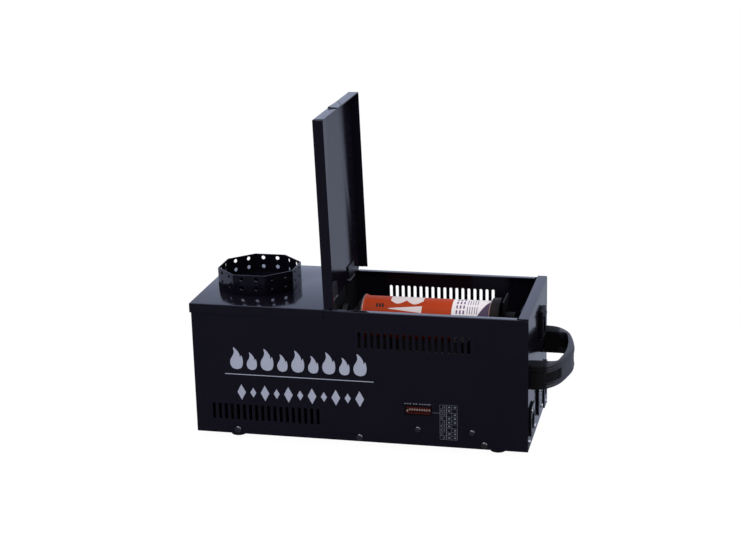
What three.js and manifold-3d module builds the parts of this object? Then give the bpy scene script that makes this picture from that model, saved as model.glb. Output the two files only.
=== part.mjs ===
// Stage flame machine: a sheet-metal box that lies along X, with an octagonal flame collar over the
// burner at its left end, an open gas bay under a hinged lid, and sockets and a carrying handle at
// its right end. Millimetres, +X to the right along the front, +Y to the back, +Z up.
import * as THREE from "three";
import { mergeVertices } from "three/addons/utils/BufferGeometryUtils.js";
import Module from "manifold-3d";

const wasm = await Module();
wasm.setup();

// Driving dimensions
const clearance = 0.3; // air between pieces that rest on each other or are screwed together
const overrun = 1; // how far a cutting tool runs past the face it cuts
const weld = 0.5; // how far joined shapes of one piece reach into each other

const body = { length: 350, depth: 148, height: 140, sheet: 1 };
const topFlange = { front: 13, back: 9, end: 10 };
const pan = { sheet: 1, flange: 12 };
const cover = { length: 141.2, sheet: 1, skirt: 10 };
const throat = 62; // diameter of the flame opening in the cover
const collar = { x: 53.5, acrossFlats: 80.5, height: 21.2, wall: 1.2, flange: 6 };
const collarHole = { diameter: 4.6, firstRow: 5, rowStep: 9.6, columnShare: 0.24 };
const vent = { slots: 18, pitch: 6.6, width: 3.2, height: 17.6 };
const lowVent = { x: 20, z: 24.2 };
const highVent = { fromRight: 172, drop: 30 };
const backVent = { fromRight: 170.4, drop: 25.2 };

const bulkhead = { sheet: 1.2, foot: 10, cableHole: 14, cableY: 34, cableZ: 26 };
const shelf = { heightShare: 0.44286, sheet: 1.2, lip: 8 };
const lid = { start: 0.3, endGap: 10.8, sheet: 1, skirt: 11, skirtStart: 2.6, opening: 91.6 };
const tab = { offset: 3.5, width: 33, slit: 1.4, bend: 1.5 };
const hinge = { fromCover: 2.2, drop: 1.1, pin: 2, knuckle: 3.8, leaf: 1, width: 26, inset: 36 };
const hingeLeaf = { fixedDrop: 16, lidReach: 16.5, play: 0.4 };

const can = { drop: 29, diameter: 45, seam: 47.6, seamWidth: 3, fromInlet: 16.5, fromRight: 47.5 };
const canEnd = { neck: 38, shoulder: 2, cup: 25.4, cupDepth: 7.2, bead: 32, rounding: 1.6 };
const stem = { diameter: 4, base: 18, baseLength: 3.4, hub: 9, hubLength: 1.4 };
const inlet = { proud: 8.8, diameter: 26, face: 5.4, shank: 12, shankReach: 4, barb: 5 };
const inletBore = { diameter: 6, depth: 5, barbLength: 6 };
const cradle = { sheet: 1.5, width: 70, drop: 11, foot: 12, fromLeft: 29.5, fromRight: 26.5 };
const endPlate = { fromRight: 34.6, sheet: 1.5, width: 33, drop: 1.4, foot: 14 };
const pusher = { diameter: 52, thickness: 9, dish: 44, dishDepth: 1.6, rim: 1, rod: 8, head: 16 };
const springCup = { diameter: 24, wall: 1.2, depth: 9.4 };
const spring = { wire: 1.1, diameter: 13, turns: 3, stepsPerTurn: 8, sides: 5, length: 5.6 };

const bench = { drop: 54, sheet: 1.5, leftX: 24, gap: 12, width: 56, foot: 10 };
const nozzle = { block: 17, blockHeight: 16, tube: 10, drop: 19, bore: 5, stud: 8, studDrop: 6 };
const gasBore = 4;
const electrode = { offset: 19, diameter: 7, ring: 11, ringHeight: 4, below: 28, drop: 18 };
const tip = { diameter: 2, drop: 14, socket: 2.6, socketDepth: 8, gap: 2.4 };
const coilBox = { fromCollar: 13.5, width: 66, depth: 42, height: 31, lug: 6, lugHeight: 3 };
const valve = { fromBench: 18, width: 24, depth: 24, height: 20, portZ: 10, port: 10, portLength: 7 };
const coil = { diameter: 28, height: 27, bore: 10 };
const plunger = { diameter: 9.2, length: 24, seatDrop: 9 };
const pipe = { diameter: 5, nut: 10, nutLength: 5, sides: 10, steps: 8, lead: 5 };

const board = { fromRight: 129, z: 9.5, length: 82, drop: 9.5, sheet: 1.6, standoff: 7.2, boss: 7 };
const boardBoss = { left: 15.9, right: 71.8, z: 17.2 };
const chip = { left: 41, drop: 26.5, width: 20, height: 8, depth: 3 };
const terminals = { left: 3, drop: 10.5, width: 40, height: 8, depth: 11 };
const dip = { left: 16.9, z: 38.1, length: 27.4, height: 9.9, recess: 0.5, window: 0.4 };
const lever = { count: 10, pitch: 2.54, width: 1.3, height: 1.9, upZ: 0.5, travel: 1.5 };
const leverSlot = { width: 1.7, height: 4.2, depth: 2.2, drop: 0.25, play: 0.2 };
const supply = { fromBulkhead: 38.8, fromRight: 42, fromBack: 8, width: 78, headroom: 23.7 };

const socket = { nearShare: 0.1486, farShare: 0.5405, z: 28, width: 26, height: 31, flange: 2, corner: 3 };
const socketBody = { diameter: 23.4, depth: 20, mouth: 19.4, mouthDepth: 11, plug: 16 };
const contact = { diameter: 2.4, circle: 4.1, length: 9, hole: 3 };
const latch = { z: 10, height: 2.8, width: 6, length: 8, proud: 1.8, travel: 1.4 };
const mains = { depthShare: 0.8378, z: 28, width: 23, height: 50, flange: 2.2, corner: 4 };
const mainsBody = { width: 20, height: 27.4, depth: 20, chamfer: 4, wall: 2.2, mouthDepth: 15 };
const blade = { width: 2, height: 4, pitch: 7, offset: 2.2, length: 11 };
const rocker = { depthShare: 0.6284, drop: 32.5, width: 25, height: 31, bezel: 2, corner: 2, swing: 20 };
const rockerBody = { width: 22, height: 28, depth: 20, wellDepth: 9, wellWidth: 18.8 };
const rockerKey = { width: 18, pivotDepth: 5, tipX: 8.28, tipZ: 10.6, dipX: 5.8 };
const rockerKeyBack = { sideX: 3, sideZ: 11.2, x: 3, z: 4 };
const handle = { offset: 0.5, endGap: 7.5, z: 65.5, height: 22, bevel: 1.6, reach: 37.5 };
// Half of the grip seen from above, each point shares of its half span and of its reach
const gripOuterShares = [
  [1, 0], [0.991, 0.2667], [0.9308, 0.4267], [0.8571, 0.56], [0.7744, 0.6667], [0.6541, 0.7733],
  [0.5038, 0.8533], [0.3383, 0.92], [0.1729, 0.976], [0, 1],
];
const gripInnerShares = [
  [0.6917, 0], [0.6917, 0.5333], [0.6617, 0.64], [0.5789, 0.6933], [0.4436, 0.7467],
  [0.3083, 0.7867], [0.1579, 0.808], [0, 0.816],
];
const foot = { height: 8, top: 20, bottom: 17, rim: 2, fromLeft: 39.5, fromRight: 33.4, insetY: 20.5 };
const screw = { head: 7.3, headHeight: 2, slotWidth: 1.1, slotDepth: 0.8 };
const panScrew = { inset: 45, offset: 0.8, rightInset: 44.5, z: 4.6 };

// Places worked out from the driving dimensions
const wall = body.sheet + clearance; // from an outer face to the nearest piece inside the sheet
const coverTop = body.height + clearance + cover.sheet;
const skirtOut = clearance + cover.sheet;
const middleY = body.depth / 2;
const floorTop = pan.sheet + clearance;
const shelfZ = body.height * shelf.heightShare;
const shelfTop = shelfZ + shelf.sheet + clearance;
const pinX = cover.length + hinge.fromCover;
const pinZ = coverTop - hinge.drop;
const lidEndX = body.length - lid.endGap;
const tabY = [middleY + tab.offset - tab.width / 2, middleY + tab.offset + tab.width / 2];
const bulkheadRight = pinX - hinge.knuckle / 2 - clearance;
const bulkheadLeft = bulkheadRight - bulkhead.sheet;
const bayDepth = [wall * 2, body.depth - wall * 2];
const inletX = bulkheadRight + inlet.proud;
const canLeftX = inletX + can.fromInlet;
const canRightX = body.length - can.fromRight;
const canZ = body.height - can.drop;
const endPlateX = body.length - endPlate.fromRight;
const benchZ = body.height - bench.drop;
const benchRight = bulkheadLeft - bulkhead.foot - bench.gap;
const benchTop = benchZ + bench.sheet + clearance;
const nozzleTop = body.height - nozzle.drop;
const electrodeTop = body.height - electrode.below;
const tipZ = body.height - tip.drop;
const valveX = benchRight - valve.fromBench;
const gasZ = benchTop + valve.portZ;
const boardX = body.length - board.fromRight;
const boardTop = shelfZ - board.drop;
const dipX = boardX + dip.left;
const socketYs = [body.depth * socket.nearShare, body.depth * socket.farShare];
const mainsY = body.depth * mains.depthShare;
const rockerY = body.depth * rocker.depthShare;
const rockerZ = body.height - rocker.drop;
const springCupEnd = endPlateX + endPlate.sheet + springCup.depth;
const springCupFloor = springCupEnd - springCup.wall;
const panelFace = body.length + clearance;
const rockerFace = panelFace + rocker.bezel;
const rockerPivotX = rockerFace - rockerKey.pivotDepth;

// Materials
function finish(color, roughness, metalness) {
  return new THREE.MeshStandardMaterial({ color, roughness, metalness });
}

const blackPowder = finish(0x15151c, 0.55, 0.2);
const zincSteel = finish(0xa8aaad, 0.4, 0.9);
const brass = finish(0xb08a42, 0.35, 1);
const copper = finish(0xb06a45, 0.35, 1);
const blackPlastic = finish(0x17171a, 0.45, 0);
const blackRubber = finish(0x121214, 0.8, 0);
const ceramicWhite = finish(0xe8e4da, 0.5, 0);
const canOrange = finish(0xc8420f, 0.3, 0.3);
const boardGreen = finish(0x1f5a38, 0.5, 0);
const switchRed = finish(0xa31f22, 0.45, 0);
const leverWhite = finish(0xe6e3dd, 0.45, 0);
const resinBlack = finish(0x1c1c20, 0.6, 0);

// Solids
function solidOf(geometry) {
  const bare = geometry.index ? geometry.toNonIndexed() : geometry;
  bare.deleteAttribute("normal");
  bare.deleteAttribute("uv");
  const merged = mergeVertices(bare);
  return new wasm.Manifold(
    new wasm.Mesh({
      numProp: 3,
      vertProperties: new Float32Array(merged.attributes.position.array),
      triVerts: new Uint32Array(merged.index.array),
    }),
  );
}

function joined(...solids) {
  return solids.reduce((sum, next) => sum.add(next));
}

function box(x0, x1, y0, y1, z0, z1) {
  const geometry = new THREE.BoxGeometry(x1 - x0, y1 - y0, z1 - z0);
  geometry.translate((x0 + x1) / 2, (y0 + y1) / 2, (z0 + z1) / 2);
  return solidOf(geometry);
}

// Brings a geometry whose own axis is +Y onto an axis that passes through a centre, which is given
// by its two other coordinates.
function ontoAxis(geometry, axis, [a, b]) {
  if (axis === "x") geometry.rotateZ(-Math.PI / 2).translate(0, a, b);
  if (axis === "y") geometry.translate(a, 0, b);
  if (axis === "z") geometry.rotateX(Math.PI / 2).translate(a, b, 0);
  return geometry;
}

function rod(axis, diameter, from, to, centre, sides = 20) {
  const geometry = new THREE.CylinderGeometry(diameter / 2, diameter / 2, to - from, sides);
  geometry.translate(0, (from + to) / 2, 0);
  return solidOf(ontoAxis(geometry, axis, centre));
}

// A solid of revolution whose profile points are [diameter, place along the axis], in rising order.
function turned(axis, profile, centre, sides = 28) {
  const points = profile.map(([diameter, along]) => new THREE.Vector2(diameter / 2, along));
  return solidOf(ontoAxis(new THREE.LatheGeometry(points, sides), axis, centre));
}

// A prism along an axis over an outline in the plane of the two other axes, in alphabetical order.
function prism(axis, outline, from, to, curveSegments = 4) {
  const shape = Array.isArray(outline)
    ? new THREE.Shape(outline.map(([a, b]) => new THREE.Vector2(a, b)))
    : outline;
  const depth = to - from;
  const geometry = new THREE.ExtrudeGeometry(shape, { depth, bevelEnabled: false, curveSegments });
  if (axis === "x") geometry.rotateX(Math.PI / 2).rotateZ(Math.PI / 2).translate(from, 0, 0);
  if (axis === "y") geometry.rotateX(Math.PI / 2).translate(0, to, 0);
  if (axis === "z") geometry.translate(0, 0, from);
  return solidOf(geometry);
}

function roundedRectangle(a, b, width, height, radius) {
  const right = a + width / 2 - radius;
  const left = a - width / 2 + radius;
  const top = b + height / 2 - radius;
  const bottom = b - height / 2 + radius;
  const shape = new THREE.Shape();
  shape.absarc(right, bottom, radius, -Math.PI / 2, 0, false);
  shape.absarc(right, top, radius, 0, Math.PI / 2, false);
  shape.absarc(left, top, radius, Math.PI / 2, Math.PI, false);
  shape.absarc(left, bottom, radius, Math.PI, Math.PI * 1.5, false);
  return shape;
}

function curvedBar(curve, diameter, steps, sides) {
  const section = [];
  for (let i = 0; i < sides; i++) {
    const angle = (i / sides) * Math.PI * 2;
    const radius = diameter / 2;
    section.push(new THREE.Vector2(radius * Math.cos(angle), radius * Math.sin(angle)));
  }
  const options = { steps, extrudePath: curve };
  return solidOf(new THREE.ExtrudeGeometry(new THREE.Shape(section), options));
}

// The machine stands on its feet, with the middle of its bounding box over the origin.
const machine = new THREE.Group();
const farthestX = panelFace + handle.reach;
const nearestY = -clearance - screw.headHeight;
machine.position.set(
  -(farthestX - skirtOut) / 2,
  -(body.depth + skirtOut + nearestY) / 2,
  foot.height,
);

function place(name, solid, material, parent = machine) {
  const made = solid.getMesh();
  const geometry = new THREE.BufferGeometry();
  geometry.setAttribute("position", new THREE.BufferAttribute(made.vertProperties, 3));
  geometry.setIndex(new THREE.BufferAttribute(made.triVerts, 1));
  geometry.computeVertexNormals();
  const mesh = new THREE.Mesh(geometry, material.clone());
  mesh.name = name;
  parent.add(mesh);
}

// One row of upright slots with round ends, cut through the wall between two y values.
function ventSlots(startX, middleZ, y0, y1) {
  const straight = (vent.height - vent.width) / 2;
  const slots = [];
  for (let i = 0; i < vent.slots; i++) {
    const x = startX + i * vent.pitch;
    const outline = new THREE.Shape();
    outline.absarc(x, middleZ + straight, vent.width / 2, 0, Math.PI, false);
    outline.absarc(x, middleZ - straight, vent.width / 2, Math.PI, Math.PI * 2, false);
    slots.push(prism("y", outline, y0, y1, 3));
  }
  return joined(...slots);
}

// Front, left end and back are one folded sheet, with flanges turned in along the top.
function outerShell() {
  const { length, depth, height, sheet } = body;
  const inner = depth - sheet;
  const flangeZ = [height - sheet, height];
  const flangeRight = lidEndX - lid.sheet - clearance * 2;
  const front = [-overrun, sheet + overrun];
  const back = [inner - overrun, depth + overrun];
  const windowX = dip.length / 2 + dip.window;
  const windowZ = dip.height / 2 + dip.window;
  return joined(
    box(0, length, 0, sheet, 0, height),
    box(0, length, inner, depth, 0, height),
    box(0, sheet, 0, depth, 0, height),
    box(0, topFlange.end, 0, depth, ...flangeZ),
    box(0, flangeRight, 0, topFlange.front, ...flangeZ),
    box(0, flangeRight, depth - topFlange.back, depth, ...flangeZ),
  )
    .subtract(ventSlots(lowVent.x, lowVent.z, ...front))
    .subtract(ventSlots(length - highVent.fromRight, height - highVent.drop, ...front))
    .subtract(ventSlots(length - backVent.fromRight, height - backVent.drop, ...back))
    .subtract(box(dipX - windowX, dipX + windowX, ...front, dip.z - windowZ, dip.z + windowZ));
}

function basePan() {
  const right = body.length - wall;
  const far = body.depth - wall;
  const { sheet, flange } = pan;
  return box(wall, right, wall, far, 0, flange).subtract(
    box(wall + sheet, right - sheet, wall + sheet, far - sheet, sheet, flange + overrun),
  );
}

// The panel's top flange lies over the flanges of the walls, and its sides are turned in.
function rearPanel() {
  const { length, depth, height, sheet } = body;
  const inner = length - sheet;
  const left = length - topFlange.end;
  const sideZ = [pan.flange + clearance, height - sheet - clearance];
  const through = [inner - overrun, length + overrun];
  const opening = (y, z, piece) =>
    box(
      ...through,
      y - piece.width / 2 - clearance, y + piece.width / 2 + clearance,
      z - piece.height / 2 - clearance, z + piece.height / 2 + clearance,
    );
  const socketHole = socketBody.diameter + clearance * 2;
  const tabNotch = box(
    left - overrun, left + tab.bend, tabY[0], tabY[1] + tab.slit, height, coverTop + overrun,
  );
  return joined(
    box(inner, length, wall, depth - wall, clearance, height + weld),
    box(left, length, 0, depth, height + clearance, coverTop),
    box(left, length, wall, wall + sheet, ...sideZ),
    box(left, length, depth - wall - sheet, depth - wall, ...sideZ),
  )
    .subtract(tabNotch)
    .subtract(rod("x", socketHole, ...through, [socketYs[0], socket.z], 24))
    .subtract(rod("x", socketHole, ...through, [socketYs[1], socket.z], 24))
    .subtract(opening(mainsY, mains.z, mainsBody))
    .subtract(opening(rockerY, rockerZ, rockerBody));
}

function topCover() {
  const { length, sheet, skirt } = cover;
  const near = -skirtOut;
  const far = body.depth + skirtOut;
  const underside = coverTop - sheet;
  const skirtZ = [coverTop - skirt, coverTop];
  return joined(
    box(near, length, near, far, underside, coverTop),
    box(near, -clearance, near, far, ...skirtZ),
    box(near, length, near, -clearance, ...skirtZ),
    box(near, length, body.depth + clearance, far, ...skirtZ),
  ).subtract(rod("z", throat, underside - overrun, coverTop + overrun, [collar.x, middleY], 32));
}

// An octagon whose flats are square to X and Y.
function octagon(acrossFlats, z0, z1) {
  const radius = acrossFlats / 2 / Math.cos(Math.PI / 8);
  const corners = [];
  for (let i = 0; i < 8; i++) {
    const angle = (Math.PI / 8) * (2 * i + 1);
    corners.push([collar.x + radius * Math.cos(angle), middleY + radius * Math.sin(angle)]);
  }
  return prism("z", corners, z0, z1);
}

function flameCollar() {
  const z0 = coverTop + clearance;
  const z1 = z0 + collar.height;
  const inside = collar.acrossFlats - collar.wall * 2;
  const faceWidth = collar.acrossFlats * Math.tan(Math.PI / 8);
  const reach = collar.acrossFlats / 2 + overrun;
  const radius = collarHole.diameter / 2;
  const drills = [];
  for (let face = 0; face < 4; face++) {
    for (const side of [-1, 1]) {
      for (const row of [0, 1]) {
        const geometry = new THREE.CylinderGeometry(radius, radius, reach * 2, 8);
        geometry.translate(side * collarHole.columnShare * faceWidth, 0, 0);
        geometry.rotateZ((face * Math.PI) / 4);
        const z = z1 - collarHole.firstRow - row * collarHole.rowStep;
        geometry.translate(collar.x, middleY, z);
        drills.push(solidOf(geometry));
      }
    }
  }
  return octagon(collar.acrossFlats, z0, z1)
    .subtract(octagon(inside, z0 + collar.wall, z1 + overrun))
    .subtract(octagon(inside - collar.flange * 2, z0 - overrun, z1))
    .subtract(joined(...drills));
}

function bulkheadPlate() {
  const raised = [topFlange.front + clearance, body.depth - topFlange.back - clearance];
  const cut = [bulkheadLeft - overrun, bulkheadRight + overrun];
  const shankHole = inlet.shank + clearance * 2;
  const x = [bulkheadLeft, bulkheadRight];
  const footLeft = bulkheadLeft - bulkhead.foot;
  return joined(
    box(...x, ...bayDepth, floorTop, body.height - wall),
    box(...x, ...raised, floorTop, body.height),
    box(footLeft, bulkheadRight, ...bayDepth, floorTop, floorTop + bulkhead.sheet),
  )
    .subtract(rod("x", shankHole, ...cut, [middleY, canZ]))
    .subtract(rod("x", bulkhead.cableHole, ...cut, [bulkhead.cableY, bulkhead.cableZ]));
}

function gasBayShelf() {
  const x = [bulkheadRight + clearance, body.length - wall];
  const [near, far] = bayDepth;
  const lipZ = [shelfZ - shelf.lip, shelfZ + weld];
  return joined(
    box(...x, near, far, shelfZ, shelfZ + shelf.sheet),
    box(...x, near, near + shelf.sheet, ...lipZ),
    box(...x, far - shelf.sheet, far, ...lipZ),
  );
}

place("outer_shell", outerShell(), blackPowder);
place("base_pan", basePan(), blackPowder);
place("rear_panel", rearPanel(), blackPowder);
place("top_cover", topCover(), blackPowder);
place("flame_collar", flameCollar(), blackPowder);
place("bulkhead", bulkheadPlate(), blackPowder);
place("gas_bay_shelf", gasBayShelf(), blackPowder);

// Lid and hinges. The pieces that swing are drawn closed and turned open about the pins.
const lidTurn = new THREE.Group();
lidTurn.position.set(pinX, 0, pinZ);
lidTurn.rotation.y = THREE.MathUtils.degToRad(-lid.opening);
const lidFrame = new THREE.Group();
lidFrame.position.set(-pinX, 0, -pinZ);
lidTurn.add(lidFrame);
machine.add(lidTurn);
const hingeYs = [hinge.inset, body.depth - hinge.inset];

function lidTray() {
  const near = -skirtOut;
  const far = body.depth + skirtOut;
  const underside = coverTop - lid.sheet;
  const skirtBottom = coverTop - lid.skirt;
  const startX = pinX + lid.start;
  const endLeft = lidEndX - lid.sheet;
  const skirtX = [pinX + lid.skirtStart, lidEndX];
  const bent = [
    [endLeft, underside + weld], [lidEndX, underside + weld],
    [lidEndX + tab.bend, skirtBottom], [endLeft + tab.bend, skirtBottom],
  ];
  const notches = hingeYs.map((y) =>
    box(
      startX - overrun, pinX + hinge.knuckle / 2 + overrun,
      y - hinge.width / 2 - overrun, y + hinge.width / 2 + overrun,
      skirtBottom, coverTop + overrun,
    ),
  );
  const tabOpening = box(
    endLeft - overrun, lidEndX + overrun, tabY[0], tabY[1] + tab.slit,
    skirtBottom - overrun, underside,
  );
  return joined(
    box(startX, lidEndX, near, far, underside, coverTop),
    box(...skirtX, near, -clearance, skirtBottom, coverTop),
    box(...skirtX, body.depth + clearance, far, skirtBottom, coverTop),
    box(endLeft, lidEndX, wall, body.depth - wall, skirtBottom, coverTop),
  )
    .subtract(joined(tabOpening, ...notches))
    .add(prism("y", bent, tabY[0] + tab.slit, tabY[1]));
}

// The fixed leaf carries the two outer barrels and the pin; the lid's leaf has the middle barrel.
function fixedLeaf(y) {
  const third = hinge.width / 3;
  const [near, far] = [y - hinge.width / 2, y + hinge.width / 2];
  const x0 = bulkheadRight + clearance;
  const middle = [y - third / 2 - clearance, y + third / 2 + clearance];
  const centre = [pinX, pinZ];
  const gapRadius = hinge.knuckle / 2 + hingeLeaf.play;
  return joined(
    box(x0, x0 + hinge.leaf, near, far, pinZ - hingeLeaf.fixedDrop, pinZ),
    rod("y", hinge.knuckle, near, far, centre, 12),
  )
    .subtract(
      box(
        x0 - overrun, pinX + gapRadius, ...middle,
        pinZ - gapRadius, pinZ + gapRadius,
      ),
    )
    .add(rod("y", hinge.pin, near - clearance, far + clearance, centre, 12));
}

function lidLeaf(y) {
  const third = hinge.width / 3;
  const top = coverTop - lid.sheet - clearance;
  const centre = [pinX, pinZ];
  const barrel = [y - third / 2, y + third / 2];
  const reach = pinX + hinge.knuckle / 2 + hingeLeaf.play;
  const bore = hinge.pin + clearance * 2;
  return joined(
    rod("y", hinge.knuckle, ...barrel, centre, 12),
    box(pinX, reach + weld, ...barrel, top - hinge.leaf, top),
    box(
      reach, pinX + hingeLeaf.lidReach,
      y - hinge.width / 2, y + hinge.width / 2, top - hinge.leaf, top,
    ),
  ).subtract(rod("y", bore, barrel[0] - overrun, barrel[1] + overrun, centre, 12));
}

place("lid", lidTray(), blackPowder, lidFrame);
hingeYs.forEach((y, i) => {
  place(`hinge_fixed_leaf_${i + 1}`, fixedLeaf(y), zincSteel);
  place(`hinge_lid_leaf_${i + 1}`, lidLeaf(y), zincSteel, lidFrame);
});

// Gas can, its inlet, its cradles and the sprung pusher behind it
const canCentre = [middleY, canZ];
const shankX = bulkheadLeft - inlet.shankReach;
const barbX = shankX - inletBore.barbLength;

function gasCanBody() {
  const { diameter, seam, seamWidth } = can;
  const { cup, cupDepth, shoulder, bead, neck, rounding } = canEnd;
  const cupX = canLeftX - cupDepth;
  const profile = [
    [0, cupX], [cup, cupX], [cup, cupX + shoulder], [bead, cupX + shoulder],
    [neck, canLeftX - shoulder], [seam, canLeftX], [seam, canLeftX + seamWidth],
    [diameter, canLeftX + seamWidth + clearance], [diameter, canRightX - rounding],
    [diameter - rounding * 2, canRightX], [0, canRightX],
  ];
  return turned("x", profile, canCentre, 32);
}

function gasCanValve() {
  const left = inletX + clearance;
  const right = canLeftX - canEnd.cupDepth - clearance;
  const baseX = right - stem.baseLength;
  const hubX = baseX - stem.hubLength;
  const profile = [
    [0, left], [stem.diameter, left], [stem.diameter, hubX], [stem.hub, hubX],
    [stem.hub, baseX], [stem.base, baseX], [stem.base, right], [0, right],
  ];
  return turned("x", profile, canCentre, 20);
}

function gasInlet() {
  const { face, diameter, shank, barb } = inlet;
  const floor = inletX - inletBore.depth;
  const profile = [
    [0, barbX], [barb, barbX], [barb, shankX], [shank, shankX],
    [shank, inletX - face], [diameter, inletX - face], [diameter, inletX],
    [inletBore.diameter, inletX], [inletBore.diameter, floor], [0, floor],
  ];
  return turned("x", profile, canCentre, 20);
}

function canCradle(x) {
  const half = cradle.width / 2;
  const across = [middleY - half, middleY + half];
  const saddle = can.diameter + clearance * 2;
  return joined(
    box(x, x + cradle.sheet, ...across, shelfTop, canZ - cradle.drop),
    box(x, x + cradle.foot, ...across, shelfTop, shelfTop + cradle.sheet),
  ).subtract(rod("x", saddle, x - overrun, x + cradle.foot + overrun, canCentre, 32));
}

function canEndBracket() {
  const { sheet, width, drop, foot: toe } = endPlate;
  const x = endPlateX;
  const right = x + sheet;
  const across = [middleY - width / 2, middleY + width / 2];
  const inside = springCup.diameter - springCup.wall * 2;
  return joined(
    box(x, right, ...across, shelfTop, body.height - drop),
    box(x, x + toe, ...across, shelfTop, shelfTop + sheet),
    rod("x", springCup.diameter, right - weld, springCupEnd, canCentre),
  )
    .subtract(rod("x", inside, right, springCupFloor, canCentre))
    .subtract(rod("x", pusher.rod + clearance * 2, x - overrun, right + overrun, canCentre));
}

function canPusher() {
  const left = canRightX + clearance;
  const right = left + pusher.thickness;
  const neck = endPlateX + endPlate.sheet + clearance;
  const end = springCupFloor - spring.length - clearance * 2;
  const { diameter, dish, dishDepth, rim, rod: rodSize, head } = pusher;
  const profile = [
    [0, left + dishDepth], [dish, left + dishDepth], [dish, left], [diameter - rim, left],
    [diameter, left + rim], [diameter, right], [rodSize, right], [rodSize, neck],
    [head, neck], [head, end], [0, end],
  ];
  return turned("x", profile, canCentre, 32);
}

class Helix extends THREE.Curve {
  constructor(x0, x1, radius, turns) {
    super();
    Object.assign(this, { x0, x1, radius, turns });
  }

  getPoint(share, target = new THREE.Vector3()) {
    const angle = share * this.turns * Math.PI * 2;
    return target.set(
      this.x0 + share * (this.x1 - this.x0),
      middleY + this.radius * Math.cos(angle),
      canZ + this.radius * Math.sin(angle),
    );
  }
}

function pusherSpring() {
  const right = springCupFloor - clearance - spring.wire / 2;
  const left = right - spring.length + spring.wire;
  const helix = new Helix(left, right, spring.diameter / 2, spring.turns);
  return curvedBar(helix, spring.wire, spring.turns * spring.stepsPerTurn, spring.sides);
}

place("gas_can_body", gasCanBody(), canOrange);
place("gas_can_valve", gasCanValve(), brass);
place("gas_inlet_fitting", gasInlet(), brass);
place("can_cradle_1", canCradle(canLeftX + cradle.fromLeft), zincSteel);
place("can_cradle_2", canCradle(canRightX - cradle.fromRight), zincSteel);
place("can_end_bracket", canEndBracket(), zincSteel);
place("can_pusher", canPusher(), blackPlastic);
place("pusher_spring", pusherSpring(), zincSteel);

// Burner, ignition and gas valve
const burnerCentre = [collar.x, middleY];
const electrodeYs = [middleY - electrode.offset, middleY + electrode.offset];
const valveCentre = [valveX, middleY];
const valveTop = benchTop + valve.height;
const valveReach = valve.width / 2 + valve.portLength;

function burnerBench() {
  const { sheet, leftX, width, foot: toe } = bench;
  const z = benchZ;
  const rightX = benchRight;
  const across = [middleY - width / 2, middleY + width / 2];
  const cut = [z - overrun, z + sheet + overrun];
  const holes = electrodeYs.map((y) =>
    rod("z", electrode.diameter + clearance * 2, ...cut, [collar.x, y], 16),
  );
  holes.push(rod("z", nozzle.stud + clearance * 2, ...cut, burnerCentre, 16));
  return joined(
    box(leftX, rightX, ...across, z, z + sheet),
    box(leftX, leftX + sheet, ...across, floorTop, z + weld),
    box(rightX - sheet, rightX, ...across, floorTop, z + weld),
    box(leftX - toe, leftX + sheet, ...across, floorTop, floorTop + sheet),
    box(rightX - sheet, rightX + toe, ...across, floorTop, floorTop + sheet),
  ).subtract(joined(...holes));
}

function burnerNozzle() {
  const half = nozzle.block / 2;
  const [x, y] = burnerCentre;
  const blockTop = benchTop + nozzle.blockHeight;
  const studBottom = benchZ - nozzle.studDrop;
  return joined(
    box(x - half, x + half, y - half, y + half, benchTop, blockTop),
    rod("z", nozzle.tube, blockTop - weld, nozzleTop, burnerCentre),
    rod("z", nozzle.stud, studBottom, benchTop + weld, burnerCentre),
  )
    .subtract(rod("z", nozzle.bore, gasZ, nozzleTop + overrun, burnerCentre, 16))
    .subtract(rod("x", gasBore, x, x + half + overrun, [y, gasZ], 12));
}

function electrodeInsulator(y) {
  const { diameter, ring, ringHeight, drop } = electrode;
  const top = electrodeTop;
  const ringTop = benchTop + ringHeight;
  const socketFloor = top - tip.socketDepth;
  const profile = [
    [0, benchTop - drop], [diameter, benchTop - drop], [diameter, benchTop], [ring, benchTop],
    [ring, ringTop], [diameter, ringTop], [diameter, top], [tip.socket, top],
    [tip.socket, socketFloor], [0, socketFloor],
  ];
  return turned("z", profile, [collar.x, y], 16);
}

function electrodeTip(y) {
  const end = middleY + (Math.sign(y - middleY) * tip.gap) / 2;
  const bottom = electrodeTop - tip.socketDepth + clearance;
  return joined(
    rod("z", tip.diameter, bottom, tipZ + tip.diameter / 2, [collar.x, y], 10),
    rod("y", tip.diameter, Math.min(y, end), Math.max(y, end), [collar.x, tipZ], 10),
  );
}

function ignitionCoil() {
  const { fromCollar, width, depth, height, lug, lugHeight } = coilBox;
  const x = collar.x + fromCollar;
  const half = width / 2;
  const across = [middleY - depth / 2, middleY + depth / 2];
  const lugX = [x - half - lug, x + half + lug];
  return joined(
    box(x - half, x + half, ...across, floorTop, floorTop + height),
    box(...lugX, middleY - lug, middleY + lug, floorTop, floorTop + lugHeight),
  );
}

function valveBody() {
  const half = valve.width / 2;
  const across = [middleY - valve.depth / 2, middleY + valve.depth / 2];
  const ends = [valveX - valveReach, valveX + valveReach];
  const well = plunger.diameter + clearance * 2;
  return joined(
    box(valveX - half, valveX + half, ...across, benchTop, valveTop),
    rod("x", valve.port, ...ends, [middleY, gasZ]),
  )
    .subtract(rod("x", gasBore, ends[0] - overrun, ends[1] + overrun, [middleY, gasZ], 12))
    .subtract(rod("z", well, valveTop - plunger.seatDrop, valveTop + overrun, valveCentre));
}

function solenoidCoil() {
  const bottom = valveTop + clearance;
  const top = bottom + coil.height;
  return rod("z", coil.diameter, bottom, top, valveCentre).subtract(
    rod("z", coil.bore, bottom - overrun, top - overrun, valveCentre),
  );
}

function solenoidPlunger() {
  const bottom = valveTop - plunger.seatDrop + clearance;
  return rod("z", plunger.diameter, bottom, bottom + plunger.length, valveCentre);
}

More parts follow.
